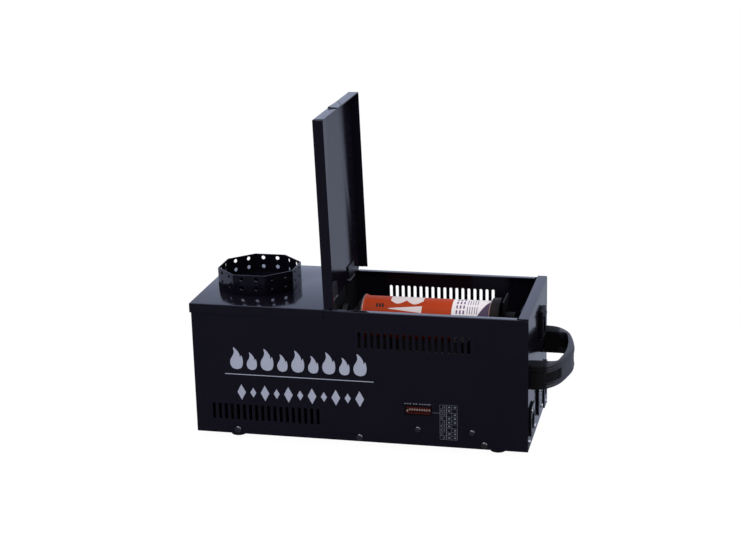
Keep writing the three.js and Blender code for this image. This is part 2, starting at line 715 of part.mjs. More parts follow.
function inletPipe() {
  const from = new THREE.Vector3(barbX - clearance, middleY, canZ);
  const to = new THREE.Vector3(valveX + valveReach + clearance, middleY, gasZ);
  const leave = from.clone().setX(from.x - pipe.lead);
  const arrive = to.clone().setX(to.x + pipe.lead);
  const curve = new THREE.CubicBezierCurve3(from, leave, arrive, to);
  return curvedBar(curve, pipe.diameter, pipe.steps, pipe.sides);
}

function nozzlePipe() {
  const from = collar.x + nozzle.block / 2 + clearance;
  const to = valveX - valveReach - clearance;
  const { nut, nutLength, diameter } = pipe;
  const profile = [
    [0, from], [nut, from], [nut, from + nutLength], [diameter, from + nutLength],
    [diameter, to - nutLength], [nut, to - nutLength], [nut, to], [0, to],
  ];
  return turned("x", profile, [middleY, gasZ], 12);
}

place("burner_bench", burnerBench(), zincSteel);
place("burner_nozzle", burnerNozzle(), brass);
electrodeYs.forEach((y, i) => {
  place(`electrode_insulator_${i + 1}`, electrodeInsulator(y), ceramicWhite);
  place(`electrode_tip_${i + 1}`, electrodeTip(y), zincSteel);
});
place("ignition_coil", ignitionCoil(), resinBlack);
place("gas_valve_body", valveBody(), brass);
place("solenoid_coil", solenoidCoil(), resinBlack);
place("solenoid_plunger", solenoidPlunger(), zincSteel);
place("gas_pipe_inlet", inletPipe(), copper);
place("gas_pipe_nozzle", nozzlePipe(), copper);

// Control board with its bank of lever switches behind the front panel, and the power supply
const leverX = (i) => dipX + (i - (lever.count - 1) / 2) * lever.pitch;

function controlBoard() {
  const front = body.sheet + board.standoff;
  const back = front + board.sheet;
  const bosses = [boardBoss.left, boardBoss.right].map((left) =>
    rod("y", board.boss, wall, front + weld, [boardX + left, boardBoss.z], 12),
  );
  const mounted = [chip, terminals].map(({ left, drop, width, height, depth }) => {
    const x = boardX + left;
    const z = boardTop - drop;
    return box(x, x + width, back - weld, back + depth, z, z + height);
  });
  return joined(
    box(boardX, boardX + board.length, front, back, board.z, boardTop),
    ...mounted,
    ...bosses,
  );
}

function dipBody() {
  const back = body.sheet + board.standoff - clearance;
  const half = dip.length / 2;
  const tall = dip.height / 2;
  const slotZ = dip.z - leverSlot.drop;
  const slots = [];
  for (let i = 0; i < lever.count; i++) {
    slots.push(
      box(
        leverX(i) - leverSlot.width / 2, leverX(i) + leverSlot.width / 2,
        dip.recess - overrun, dip.recess + leverSlot.depth,
        slotZ - leverSlot.height / 2, slotZ + leverSlot.height / 2,
      ),
    );
  }
  return box(dipX - half, dipX + half, dip.recess, back, dip.z - tall, dip.z + tall).subtract(
    joined(...slots),
  );
}

// The first lever stands down, the others up.
function dipLever(i) {
  const z = dip.z + lever.upZ - (i === 0 ? lever.travel : 0);
  return box(
    leverX(i) - lever.width / 2, leverX(i) + lever.width / 2,
    leverSlot.play, dip.recess + leverSlot.depth - leverSlot.play,
    z - lever.height / 2, z + lever.height / 2,
  );
}

function powerSupply() {
  const x = [bulkheadRight + supply.fromBulkhead, body.length - supply.fromRight];
  const far = body.depth - supply.fromBack;
  return box(...x, far - supply.width, far, floorTop, shelfZ - supply.headroom);
}

place("control_board", controlBoard(), boardGreen);
place("dip_switch_body", dipBody(), switchRed);
for (let i = 0; i < lever.count; i++) place(`dip_lever_${i + 1}`, dipLever(i), leverWhite);
place("power_supply", powerSupply(), zincSteel);

// Rear panel fittings
function socketShell(y) {
  const outline = roundedRectangle(y, socket.z, socket.width, socket.height, socket.corner);
  const inward = panelFace - socketBody.depth;
  return joined(
    prism("x", outline, panelFace, panelFace + socket.flange),
    rod("x", socketBody.diameter, inward, panelFace + weld, [y, socket.z], 24),
  );
}

// Three contacts, or the holes for them, on a circle about a socket's axis.
function contacts(y, diameter, from, to) {
  const angles = [Math.PI / 2, (Math.PI * 7) / 6, (Math.PI * 11) / 6];
  const { circle } = contact;
  const rods = angles.map((angle) =>
    rod(
      "x", diameter, from, to,
      [y + circle * Math.cos(angle), socket.z + circle * Math.sin(angle)], 8,
    ),
  );
  return joined(...rods);
}

function pinSocket(y) {
  const face = panelFace + socket.flange;
  const floor = face - socketBody.mouthDepth;
  return socketShell(y)
    .subtract(rod("x", socketBody.mouth, floor, face + overrun, [y, socket.z], 24))
    .add(contacts(y, contact.diameter, floor - weld, floor + contact.length));
}

function holeSocket(y) {
  const face = panelFace + socket.flange;
  const floor = face - socketBody.mouthDepth;
  const centre = [y, socket.z];
  const groove = rod("x", socketBody.mouth, floor, face + overrun, centre, 24).subtract(
    rod("x", socketBody.plug, floor - overrun, face + overrun * 2, centre, 24),
  );
  const z = socket.z + latch.z;
  const half = latch.width / 2 + clearance;
  const tall = latch.height / 2 + clearance;
  const pocketLeft = face + latch.proud - latch.length - latch.travel - clearance;
  const pocket = box(pocketLeft, face + overrun, y - half, y + half, z - tall, z + tall);
  return socketShell(y)
    .subtract(groove)
    .subtract(pocket)
    .subtract(contacts(y, contact.hole, face - contact.length, face + overrun));
}

function latchButton(y) {
  const outer = panelFace + socket.flange + latch.proud;
  const z = socket.z + latch.z;
  const half = latch.width / 2;
  return box(
    outer - latch.length, outer, y - half, y + half, z - latch.height / 2, z + latch.height / 2,
  );
}

function powerInlet() {
  const { z, width, height, flange, corner } = mains;
  const y = mainsY;
  const { chamfer, mouthDepth, depth, wall: thickness } = mainsBody;
  const face = panelFace + flange;
  const floor = face - mouthDepth;
  const halfWidth = mainsBody.width / 2;
  const halfHeight = mainsBody.height / 2;
  const w = halfWidth - thickness;
  const h = halfHeight - thickness;
  const mouth = [
    [y - w, z - h], [y + w - chamfer, z - h], [y + w, z - h + chamfer],
    [y + w, z + h - chamfer], [y + w - chamfer, z + h], [y - w, z + h],
  ];
  const blades = [-1, 0, 1].map((step) => {
    const bladeY = y + (step === 0 ? blade.offset : -blade.offset);
    const bladeZ = z + step * blade.pitch;
    return box(
      floor - weld, floor + blade.length, bladeY - blade.height / 2, bladeY + blade.height / 2,
      bladeZ - blade.width / 2, bladeZ + blade.width / 2,
    );
  });
  return joined(
    prism("x", roundedRectangle(y, z, width, height, corner), panelFace, face),
    box(
      panelFace - depth, panelFace + weld, y - halfWidth, y + halfWidth,
      z - halfHeight, z + halfHeight,
    ),
  )
    .subtract(prism("x", mouth, floor, face + overrun))
    .add(joined(...blades));
}

function switchBody() {
  const { width, height, corner, bezel } = rocker;
  const y = rockerY;
  const z = rockerZ;
  const { depth, wellDepth, wellWidth } = rockerBody;
  const halfWidth = rockerBody.width / 2;
  const halfHeight = rockerBody.height / 2;
  const wellHalf = halfHeight - bezel + clearance;
  return joined(
    prism("x", roundedRectangle(y, z, width, height, corner), panelFace, rockerFace),
    box(
      panelFace - depth, panelFace + weld, y - halfWidth, y + halfWidth,
      z - halfHeight, z + halfHeight,
    ),
  ).subtract(
    box(
      rockerFace - wellDepth, rockerFace + overrun, y - wellWidth / 2, y + wellWidth / 2,
      z - wellHalf, z + wellHalf,
    ),
  );
}

// The key rests with its upper end out, half its swing away from level.
function switchKey() {
  const { width, tipX, tipZ, dipX } = rockerKey;
  const back = rockerKeyBack;
  const level = [
    [tipX, tipZ], [back.sideX, back.sideZ], [-back.x, back.z], [-back.x, -back.z],
    [back.sideX, -back.sideZ], [tipX, -tipZ], [dipX, 0],
  ];
  const turn = THREE.MathUtils.degToRad(-rocker.swing / 2);
  const cos = Math.cos(turn);
  const sin = Math.sin(turn);
  const outline = level.map(([x, z]) => [
    rockerPivotX + x * cos - z * sin,
    rockerZ + x * sin + z * cos,
  ]);
  return prism("y", outline, rockerY - width / 2, rockerY + width / 2);
}

function carryingHandle() {
  const { z, height, bevel, offset, endGap, reach } = handle;
  const span = middleY - endGap;
  const point = ([across, out], side) =>
    new THREE.Vector2(panelFace + out * reach, middleY + offset + across * span * side);
  const whole = (shares) => [
    ...shares.map((pair) => point(pair, -1)),
    ...shares.slice(0, -1).reverse().map((pair) => point(pair, 1)),
  ];
  const outer = whole(gripOuterShares);
  const inner = whole(gripInnerShares);
  const grip = new THREE.ExtrudeGeometry(new THREE.Shape([...outer, ...inner.reverse()]), {
    depth: height - bevel * 2,
    bevelEnabled: true,
    bevelThickness: bevel,
    bevelSize: bevel,
    bevelOffset: -bevel,
    bevelSegments: 1,
  });
  return solidOf(grip.translate(0, 0, z + bevel));
}

place("dmx_in_socket", pinSocket(socketYs[0]), blackPlastic);
place("dmx_out_socket", holeSocket(socketYs[1]), blackPlastic);
place("dmx_out_latch", latchButton(socketYs[1]), zincSteel);
place("power_inlet", powerInlet(), blackPlastic);
place("power_switch_body", switchBody(), blackPlastic);
place("power_switch_rocker", switchKey(), blackPlastic);
place("handle", carryingHandle(), blackPlastic);

// Feet and the screws along the foot of the front panel
function rubberFoot(x, y) {
  const top = -clearance / 2;
  const { bottom, rim, height } = foot;
  const profile = [
    [0, -height], [bottom - rim, -height], [bottom, rim - height], [foot.top, top], [0, top],
  ];
  return turned("z", profile, [x, y], 24);
}

function screwHead(x) {
  const { head, headHeight, slotWidth, slotDepth } = screw;
  const front = -clearance - headHeight;
  const flat = head / 2;
  const profile = [
    [0, front], [flat, front], [head, front + headHeight / 2], [head, -clearance], [0, -clearance],
  ];
  const slot = (width, height) =>
    box(
      x - width / 2, x + width / 2, front - overrun, front + slotDepth,
      panScrew.z - height / 2, panScrew.z + height / 2,
    );
  return turned("y", profile, [x, panScrew.z], 16).subtract(
    joined(slot(slotWidth, flat), slot(flat, slotWidth)),
  );
}

const footXs = [foot.fromLeft, body.length - foot.fromRight];
const footYs = [foot.insetY, body.depth - foot.insetY];
footXs.forEach((x, i) => {
  footYs.forEach((y, j) => place(`foot_${i * 2 + j + 1}`, rubberFoot(x, y), blackRubber));
});
const screwXs = [
  panScrew.inset,
  body.length / 2 + panScrew.offset,
  body.length - panScrew.rightInset,
];
screwXs.forEach((x, i) => place(`pan_screw_${i + 1}`, screwHead(x), zincSteel));

export default machine;
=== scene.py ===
"""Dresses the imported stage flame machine: painted steel, gas can, sockets, grip and studio."""
import math

import bmesh
import bpy
from mathutils import Matrix, Vector


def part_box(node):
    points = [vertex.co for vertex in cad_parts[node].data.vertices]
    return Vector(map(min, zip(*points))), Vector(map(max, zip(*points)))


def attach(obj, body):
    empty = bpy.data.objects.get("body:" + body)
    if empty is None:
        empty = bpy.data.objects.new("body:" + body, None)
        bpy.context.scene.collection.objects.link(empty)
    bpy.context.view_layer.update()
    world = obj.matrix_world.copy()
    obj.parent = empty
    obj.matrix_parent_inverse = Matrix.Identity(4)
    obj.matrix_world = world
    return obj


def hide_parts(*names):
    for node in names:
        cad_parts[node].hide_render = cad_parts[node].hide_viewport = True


bl_info = {
    "name": "Stage Flame Machine",
    "version": (1, 0, 0),
    "blender": (4, 5, 0),
    "location": "View3D > Sidebar > Flame Machine",
    "description": "Builds the finish of a stage flame machine piece by piece",
    "category": "Add Mesh",
}

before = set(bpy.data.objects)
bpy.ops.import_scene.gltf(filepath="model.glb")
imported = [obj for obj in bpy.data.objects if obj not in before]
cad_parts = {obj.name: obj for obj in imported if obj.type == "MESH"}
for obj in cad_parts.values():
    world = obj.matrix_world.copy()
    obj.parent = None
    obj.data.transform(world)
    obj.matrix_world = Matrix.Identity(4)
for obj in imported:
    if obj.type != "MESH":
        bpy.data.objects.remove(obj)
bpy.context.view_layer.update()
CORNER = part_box("outer_shell")[0]
MM = 0.001

UP, DOWN = Vector((0, 0, 1)), Vector((0, 0, -1))
LEFT, RIGHT = Vector((-1, 0, 0)), Vector((1, 0, 0))
FRONT, BACK = Vector((0, -1, 0)), Vector((0, 1, 0))

# Sizes and places in millimetres, from the casing's front left bottom corner
LENGTH, DEPTH, HEIGHT = 350, 148, 140
OUT = 1.3  # how far the skirts of cover and lid stand out of the casing
TOP = 141.3  # outer face of cover, closed lid and rear panel's flange
COVER_END, COVER_FOOT = 141.2, 131.3
LID_START, LID_END, LID_FOOT = 143.7, 339.2, 130.3
PIN_X, PIN_Z = 143.4, 140.2  # axis of the hinge pins
HINGES_Y = (36, 112)
OPENING = 91.6  # degrees from the closed lid to its open rest
VENT_COUNT, VENT_PITCH, VENT_WIDTH, VENT_HEIGHT = 18, 6.6, 3.2, 17.6
COLLAR_CENTRE, COLLAR_ACROSS = (53.5, 74), 81.7
CAN_AXIS, CAN_RADIUS = (74, 111), 22.5
SEAT = 350.3  # where the fittings of the rear panel start
BACK_END = 330.3  # how far into the machine they reach
THROUGH_PANEL = (346, 353)
SOCKETS_Y, SOCKET_Z = (22, 80), 28
SOCKET_FACE, MAINS_FACE = 352.3, 352.5
MAINS = (124, 28)
SWITCH = (93, 107.5)
GRIP_Y = 74.5
PATCH_X, PATCH_Z = (365.3, 379.2), (70.6, 81.0)  # sunk patches near the grip's ends
HEAD, HEAD_HEIGHT = 7.3, 2.0  # pan head of the screws along the front's foot
TABLE_FOOT, TABLE_PITCH = 8.1, 4.16  # lowest line of the printed switch table and its row height


# Places and selections


def at(x, y, z):
    """A point given in millimetres from the casing's front left bottom corner."""
    return CORNER + Vector((x, y, z)) * MM


def onto(axis, along, across):
    """Coordinates in order, from the one along an axis and the two across it."""
    a, b = across
    return {"x": (along, a, b), "y": (a, along, b), "z": (a, b, along)}[axis]


def deselect():
    if bpy.context.object and bpy.context.object.mode != "OBJECT":
        bpy.ops.object.mode_set(mode="OBJECT")
    bpy.ops.object.select_all(action="DESELECT")


def activate(piece):
    deselect()
    piece.select_set(True)
    bpy.context.view_layer.objects.active = piece


def named(name):
    """The new primitive under its name, with its place, turn and scale in its mesh."""
    piece = bpy.context.object
    piece.name = name
    piece.data.name = name
    bpy.ops.object.transform_apply(location=True, rotation=True, scale=True)
    return piece


def pick(piece, kind, test):
    """Edit mode with only the faces or edges that pass the test selected."""
    activate(piece)
    bpy.ops.object.mode_set(mode="EDIT")
    bpy.ops.mesh.select_mode(type=kind)
    bpy.ops.mesh.select_all(action="DESELECT")
    mesh = bmesh.from_edit_mesh(piece.data)
    for part in mesh.faces if kind == "FACE" else mesh.edges:
        if test(part):
            part.select_set(True)
    mesh.select_flush_mode()
    bmesh.update_edit_mesh(piece.data)


def done():
    bpy.ops.object.mode_set(mode="OBJECT")


def done_outwards():
    """Turns all faces outwards and leaves edit mode."""
    bpy.ops.mesh.select_all(action="SELECT")
    bpy.ops.mesh.normals_make_consistent(inside=False)
    done()


def edge_at(**place):
    """A test for edges that lie at the given coordinates, such as y=0, z=140."""

    def test(edge):
        ends = [(vertex.co - CORNER) / MM for vertex in edge.verts]
        return all(
            abs(getattr(end, axis) - value) < 0.05 for end in ends for axis, value in place.items()
        )

    return test


# Shapes


def block(name, x, y, z):
    spans = (x, y, z)
    deselect()
    middle = at(*((low + high) / 2 for low, high in spans))
    bpy.ops.mesh.primitive_cube_add(size=MM, location=middle)
    bpy.context.object.scale = [high - low for low, high in spans]
    return named(name)


def sheet_box(name, x, y, z, *open_sides):
    """A block without the faces that look to the open sides."""
    box = block(name, x, y, z)
    pick(box, "FACE", lambda face: any(face.normal.dot(side) > 0.9 for side in open_sides))
    bpy.ops.mesh.delete(type="FACE")
    done()
    return box


def drum(name, axis, diameter, along, centre, sides=48):
    low, high = along
    turn = {"x": (0, math.pi / 2, 0), "y": (math.pi / 2, 0, 0), "z": (0, 0, 0)}[axis]
    middle = at(*onto(axis, (low + high) / 2, centre))
    size = {"radius": diameter / 2 * MM, "depth": (high - low) * MM}
    deselect()
    bpy.ops.mesh.primitive_cylinder_add(vertices=sides, location=middle, rotation=turn, **size)
    return named(name)


def ring(name, points, fill="NOTHING"):
    """A circle whose corners are moved to the points."""
    deselect()
    bpy.ops.mesh.primitive_circle_add(vertices=len(points), fill_type=fill)
    circle = named(name)
    for vertex, point in zip(circle.data.vertices, points):
        vertex.co = at(*point)
    return circle


def prism(name, axis, outline, along):
    """A plate over an outline in the plane of the two other axes, in order."""
    low, high = along
    plate = ring(name, [onto(axis, low, point) for point in outline], "NGON")
    pick(plate, "FACE", lambda face: True)
    shift = Vector(onto(axis, high - low, (0, 0))) * MM
    bpy.ops.mesh.extrude_region_move(TRANSFORM_OT_translate={"value": shift})
    done_outwards()
    return plate


def spun(name, axis, profile, centre, steps):
    """A turned shape: profile points are (diameter, place along the axis), the ends on the axis."""
    a, b = centre
    line = [onto(axis, along, (a + diameter / 2, b)) for diameter, along in profile]
    turned = ring(name, line)
    ends = {0, len(line) - 1}
    pick(turned, "EDGE", lambda edge: {vertex.index for vertex in edge.verts} == ends)
    bpy.ops.mesh.delete(type="EDGE")
    bpy.ops.mesh.select_all(action="SELECT")
    middle, direction = at(*onto(axis, 0, centre)), onto(axis, 1, (0, 0))
    bpy.ops.mesh.spin(steps=steps, angle=math.tau, center=middle, axis=direction)
    bpy.ops.mesh.select_all(action="SELECT")
    bpy.ops.mesh.remove_doubles(threshold=MM / 200)
    done_outwards()
    return turned


def lofted(name, rings):
    """A closed body through rings of points, one above the other."""
    count = len(rings[0])
    body = joined(ring(name, points) for points in rings)
    pick(body, "EDGE", lambda edge: True)
    bpy.ops.mesh.bridge_edge_loops()
    for first in (0, count * (len(rings) - 1)):
        own = range(first, first + count)
        pick(body, "EDGE", lambda edge: all(vertex.index in own for vertex in edge.verts))
        bpy.ops.mesh.edge_face_add()
    done_outwards()
    return body


def rounded_outline(a, b, width, height, radius):
    steps = 6
    points = []
    for quarter, (da, db) in enumerate([(1, -1), (1, 1), (-1, 1), (-1, -1)]):
        middle_a = a + da * (width / 2 - radius)
        middle_b = b + db * (height / 2 - radius)
        for i in range(steps + 1):
            angle = math.pi / 2 * (quarter - 1 + i / steps)
            points.append(
                (middle_a + radius * math.cos(angle), middle_b + radius * math.sin(angle))
            )
    return points


def between(a, b, c, d, t):
    """A share t of the way from b to c on the smooth curve through four values."""
    bend = (2 * a - 5 * b + 4 * c - d) * t * t + (3 * b - a - 3 * c + d) * t**3
    return 0.5 * (2 * b + (c - a) * t + bend)


def smooth_line(points):
    """A line four times as fine through the points, its ends kept."""
    steps = 4
    padded = [points[0], *points, points[-1]]
    line = []
    for four in zip(padded, padded[1:], padded[2:], padded[3:]):
        for i in range(steps):
            line.append(tuple(between(*values, i / steps) for values in zip(*four)))
    return [*line, points[-1]]


def drawn_in(line, inset):
    """A line moved sideways by what inset gives for each of its points, never into the panel."""
    moved = []
    for before, here, after in zip([line[0], *line], line, [*line[1:], line[-1]]):
        along = Vector((after[0] - before[0], after[1] - before[1])).normalized()
        shift = inset(here)
        moved.append((max(here[0] - along.y * shift, SEAT), here[1] + along.x * shift))
    return moved


# Working a shape


def finish_with(piece, kind, **settings):
    activate(piece)
    modifier = piece.modifiers.new(kind.title(), kind)
    for key, value in settings.items():
        setattr(modifier, key, value)
    bpy.ops.object.modifier_apply(modifier=modifier.name)


def combine(piece, operation, others):
    for other in others:
        finish_with(piece, "BOOLEAN", operation=operation, solver="EXACT", object=other)
        bpy.data.objects.remove(other)


def cut(piece, *cutters):
    combine(piece, "DIFFERENCE", cutters)


def unite(piece, *others):
    combine(piece, "UNION", others)


def joined(pieces):
    """One piece of several that stay separate shells."""
    first, *others = pieces
    activate(first)
    for other in others:
        other.select_set(True)
    bpy.ops.object.join()
    return first


def smoothed(piece, angle=35):
    activate(piece)
    bpy.ops.object.shade_smooth_by_angle(angle=math.radians(angle))
    return piece


def soften(piece, width, segments=3):
    """Bevels the sharp edges."""
    limit = {"limit_method": "ANGLE", "angle_limit": math.radians(40), "use_clamp_overlap": True}
    finish_with(piece, "BEVEL", width=width * MM, segments=segments, **limit)
    return smoothed(piece)


def fold(piece, test):
    """Rounds the edges along which a sheet is folded, then gives it its thickness inwards."""
    made = bpy.context.scene.flame_machine
    pick(piece, "EDGE", test)
    bpy.ops.mesh.bevel(offset=made.fold_radius * MM, segments=4, affect="EDGES")
    done()
    finish_with(piece, "SOLIDIFY", thickness=made.sheet * MM, offset=-1, use_even_offset=True)


def copied(piece, name, shift):
    twin = piece.copy()
    twin.data = piece.data.copy()
    twin.name = name
    twin.data.transform(Matrix.Translation(Vector(shift) * MM))
    bpy.context.scene.collection.objects.link(twin)
    return twin


def repeated(axis, places, make):
    """Like pieces at places across an axis, by name: the first is made and the others copied."""
    (name, (a, b)), *others = places.items()
    first = make(name, (a, b))
    copies = (copied(first, name, onto(axis, 0, (c - a, d - b))) for name, (c, d) in others)
    return [first, *copies]


def dress(mesh, finish):
    mesh.materials.clear()
    mesh.materials.append(material(finish))


def put(piece, finish, slot, *nodes, body="chassis"):
    """Gives a piece its finish and its body, and hides the nodes that it stands for; the slot is
    not used.
    """
    dress(piece.data, finish)
    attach(piece, body)
    if nodes:
        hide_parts(*nodes)


# Materials


def maths(operation, reflected=False):
    """A method of Level that adds a Math node."""

    def apply(self, *others):
        values = (*others, self) if reflected else (self, *others)
        node = self.nodes.node("Math", {"operation": operation}, *values)
        return Level(self.nodes, node.outputs[0])

    return apply


class Level:
    """A number that a socket gives, for use in arithmetic."""

    __add__, __radd__ = maths("ADD"), maths("ADD", True)
    __sub__, __rsub__ = maths("SUBTRACT"), maths("SUBTRACT", True)
    __mul__, __rmul__ = maths("MULTIPLY"), maths("MULTIPLY", True)
    __mod__ = maths("FLOORED_MODULO")
    __abs__ = maths("ABSOLUTE")
    sine = maths("SINE")
    low = maths("MINIMUM")
    high = maths("MAXIMUM")
    angle_to = maths("ARCTAN2")

    def __init__(self, nodes, socket):
        self.nodes = nodes
        self.socket = socket

    def rise(self, start, end, low=0, high=1):
        """The low value below start and the high one above end, smooth between."""
        settings = {"interpolation_type": "SMOOTHSTEP"}
        node = self.nodes.node("MapRange", settings, self, start, end, low, high)
        return Level(self.nodes, node.outputs[0])

    def within(self, start, end, soft):
        """1 between start and end and 0 outside, over a soft edge."""
        return self.rise(start - soft, start + soft) * (1 - self.rise(end - soft, end + soft))

    def bars(self, start, end, pitch, low, high):
        """Bars from low to high in each pitch, from start to end."""
        return ((self - start) % pitch).within(low, high, 0.12) * self.within(start, end, 0.1)


class Nodes:
    """A node tree under construction."""

    def __init__(self, tree):
        self.tree = tree
        tree.nodes.clear()

    def fill(self, socket, value):
        """Links a level or a socket to a socket, or gives it a number or a colour."""
        if isinstance(value, Level):
            value = value.socket
        if isinstance(value, bpy.types.NodeSocket):
            self.tree.links.new(value, socket)
        elif socket.type == "RGBA":
            socket.default_value = (*value[:3], 1)
        else:
            socket.default_value = value

    def node(self, kind, settings=None, *values, **named_values):
        made = self.tree.nodes.new(f"ShaderNode{kind}")
        for key, value in (settings or {}).items():
            setattr(made, key, value)
        for key, value in [*enumerate(values), *named_values.items()]:
            self.fill(made.inputs[key], value)
        return made

    def parts(self, vector):
        node = self.node("SeparateXYZ", None, vector)
        return [Level(self, socket) for socket in node.outputs]

    def rays(self, *kinds):
        """1 for a ray of each kind and otherwise 0."""
        node = self.node("LightPath")
        return [Level(self, node.outputs[f"Is {kind} Ray"]) for kind in kinds]

    def mix(self, share, first, second):
        """A colour between two."""
        made = self.node("Mix", {"data_type": "RGBA"}, share)
        self.fill(made.inputs[6], first)
        self.fill(made.inputs[7], second)
        return made.outputs[2]


class Paint(Nodes):
    """A material under construction, with its place in millimetres of the casing."""

    def __init__(self, name):
        self.material = bpy.data.materials.new(name)
        self.material.use_nodes = True
        super().__init__(self.material.node_tree)
        self.shader = self.node("BsdfPrincipled")
        self.output = self.node("OutputMaterial", None, self.shader.outputs[0])
        place = self.node("TexCoord").outputs["Object"]
        shift = self.node("VectorMath", {"operation": "SUBTRACT"}, place, CORNER)
        settings = {"operation": "SCALE"}
        scaled = self.node("VectorMath", settings, shift.outputs[0], Scale=1 / MM)
        self.place = scaled.outputs[0]
        self.x, self.y, self.z = self.parts(self.place)

    def noise(self, scale, detail=3, stretch=(1, 1, 1)):
        """Noise from about 0 to 1 whose features are scale millimetres apart."""
        spread = self.node("Mapping", None, self.place, Scale=stretch)
        settings = {"Scale": 1 / scale, "Detail": detail}
        made = self.node("TexNoise", None, spread.outputs[0], **settings)
        return Level(self, made.outputs["Fac"])

    def feed(self, name, value):
        self.fill(self.shader.inputs[name], value)

    def bump(self, height, strength, depth):
        settings = {"Strength": strength, "Distance": depth * MM, "Height": height}
        self.feed("Normal", self.node("Bump", None, **settings).outputs[0])


def shades(colour, spread):
    return tuple(c * (1 - spread) for c in colour), tuple(c * (1 + spread) for c in colour)


def plain(paint, colour, rough, metal=0, spread=0.12, grain=0.6, stretch=(1, 1, 1), gloss=0.5):
    """Cloudy colour, uneven roughness and a fine grain."""
    cloud = paint.noise(38)
    fine = paint.noise(grain, 2, stretch)
    paint.feed("Base Color", paint.mix(cloud, *shades(colour, spread)))
    paint.feed("Roughness", rough - 0.06 + cloud * 0.08 + fine * 0.04)
    paint.feed("Metallic", metal)
    paint.feed("Specular IOR Level", gloss)
    paint.bump(fine, 0.5, 0.02)


def powder_coat(paint):
    """Gloss black powder coat with its orange peel, faint dust and rubbed patches."""
    settings = bpy.context.scene.flame_machine
    cloud = paint.noise(60)
    rubbed = paint.noise(14, 4).rise(0.6, 0.72)
    paint.feed("Base Color", paint.mix(cloud, *shades(settings.casing_colour, 0.25)))
    paint.feed("Roughness", 0.11 + cloud * 0.05 + rubbed * 0.04)
    paint.feed("Specular Tint", settings.sheen_colour)
    paint.bump(paint.noise(1.3, 2), 0.25, 0.01)


def socket_plastic(paint):
    """Moulded plastic of the sockets, polished on the flanges' outer faces only."""
    cloud = paint.noise(38)
    paint.feed("Base Color", paint.mix(cloud, (0.004, 0.004, 0.006), (0.008, 0.008, 0.011)))
    paint.feed("Roughness", 0.5 + cloud * 0.1)
    paint.feed("Specular IOR Level", DULL)
    paint.feed("Coat Weight", paint.x.rise(SOCKET_FACE - 0.4, SOCKET_FACE - 0.1))
    paint.feed("Coat Roughness", 0.16)
    paint.bump(paint.noise(0.6, 2), 0.3, 0.015)


def grip_plastic(paint):
    """Moulded plastic of the grip: a satin bow, with dull ends and dull sunk patches; the ends and
    patches are painted a darker colour than the bow as painted shade.
    """
    patch = paint.x.within(*PATCH_X, 0.2) * paint.z.within(*PATCH_Z, 0.2)
    bow_unshaded = paint.x.rise(364.5, 368.5) * (1 - patch)
    # painted shade: the grip's ends and its sunk patches get a darker base colour than the bow
    paint.feed("Base Color", paint.mix(bow_unshaded, (0.004, 0.004, 0.005), (0.013, 0.011, 0.019)))
    paint.feed("Roughness", 0.6 + paint.noise(38) * 0.1)
    paint.feed("Specular IOR Level", DULL)
    paint.feed("Coat Weight", bow_unshaded * 0.62)
    paint.feed("Coat Roughness", 0.34)
    paint.bump(paint.noise(0.7, 2), 0.4, 0.03)


def can_print(paint):
    """Orange print with a scalloped white patch, a wedge, ticks and a label of plain bars."""
    x = paint.x
    axis_y, axis_z = CAN_AXIS
    around = (paint.z - axis_z).angle_to(paint.y - axis_y) * CAN_RADIUS
    scallop = abs(((x - 196) * 0.177).sine()) * 5.6
    patch = x.within(197, 231.4, 0.2) * (1 - (abs(around - 26) - scallop - 15.5).rise(-0.2, 0.2))
    wedge = (around - (53.4 - (x - 194) * 0.115)).rise(-0.15, 0.15)
    wedge = wedge * (1 - (around - (54 + (x - 196) * 0.09)).rise(-0.15, 0.15))
    wedge = wedge * x.within(196, 231, 0.2)
    ticks = x.bars(182, 191.2, 3.1, 0.4, 2.5) * around.within(47.7, 52.6, 0.2)
    label = x.within(262.4, 301, 0.15)
    blocks = x.bars(266.5, 277, 3.6, 0.4, 2.0) * (around % 6.4).within(0.7, 5.0, 0.25)
    rules = x.bars(278, 290.4, 2.5, 0.4, 1.1) * (around % 11.5).within(0.8, 9.6, 0.25)
    stripe = (x + around * 0.55).within(321, 340, 0.25) * label
    seams = (x.within(160, 168.7, 0.1) + x.rise(301.0, 301.4)).low(1)
    dome = 1 - x.rise(166.2, 166.6)
    layers = [
        (patch.high(wedge), (0.74, 0.64, 0.65)),
        (ticks, (0.03, 0.01, 0.01)),
        (label, (0.84, 0.79, 0.82)),
        ((blocks + rules).low(1), (0.13, 0.06, 0.19)),
        (stripe, (0.075, 0.05, 0.10)),
        (seams, (0.60, 0.43, 0.40)),
        (dome, (0.03, 0.028, 0.03)),
    ]
    ground = bpy.context.scene.flame_machine.can_colour
    colour = paint.mix(paint.noise(30), *shades(ground, 0.10))
    for mask, ink in layers:
        colour = paint.mix(mask, colour, ink)
    paint.feed("Base Color", colour)
    paint.feed("Metallic", seams * (1 - dome) * 0.75)
    paint.feed("Roughness", 0.32 + paint.noise(20) * 0.08)
    paint.feed("Specular IOR Level", 0.1)
    paint.bump(paint.noise(6), 0.1, 0.05)


def switch_bank(paint):
    """Red face of the switch bank inside its dark moulded rim."""
    red = paint.x.within(225.4, 250.6, 0.5) * paint.z.within(34.0, 41.4, 0.5)
    paint.feed("Base Color", paint.mix(red, (0.006, 0.002, 0.003), (0.050, 0.004, 0.004)))
    paint.feed("Roughness", 0.45 + paint.noise(12) * 0.12)
    paint.feed("Specular IOR Level", DULL)
    paint.bump(paint.noise(0.6, 2), 0.3, 0.015)


def front_ink(paint):
    """Screen print of the front, full on the ornament and thin on the switch table."""
    full = bpy.context.scene.flame_machine.print_colour
    thin_ink = [c * 0.36 for c in full]
    paint.feed("Base Color", paint.mix(paint.x.rise(214, 216), full, thin_ink))
    paint.feed("Roughness", 0.45 + paint.noise(3) * 0.12)
    paint.bump(paint.noise(0.6, 2), 0.5, 0.02)


DULL = 0.12  # specular level of what stays dark at a low angle

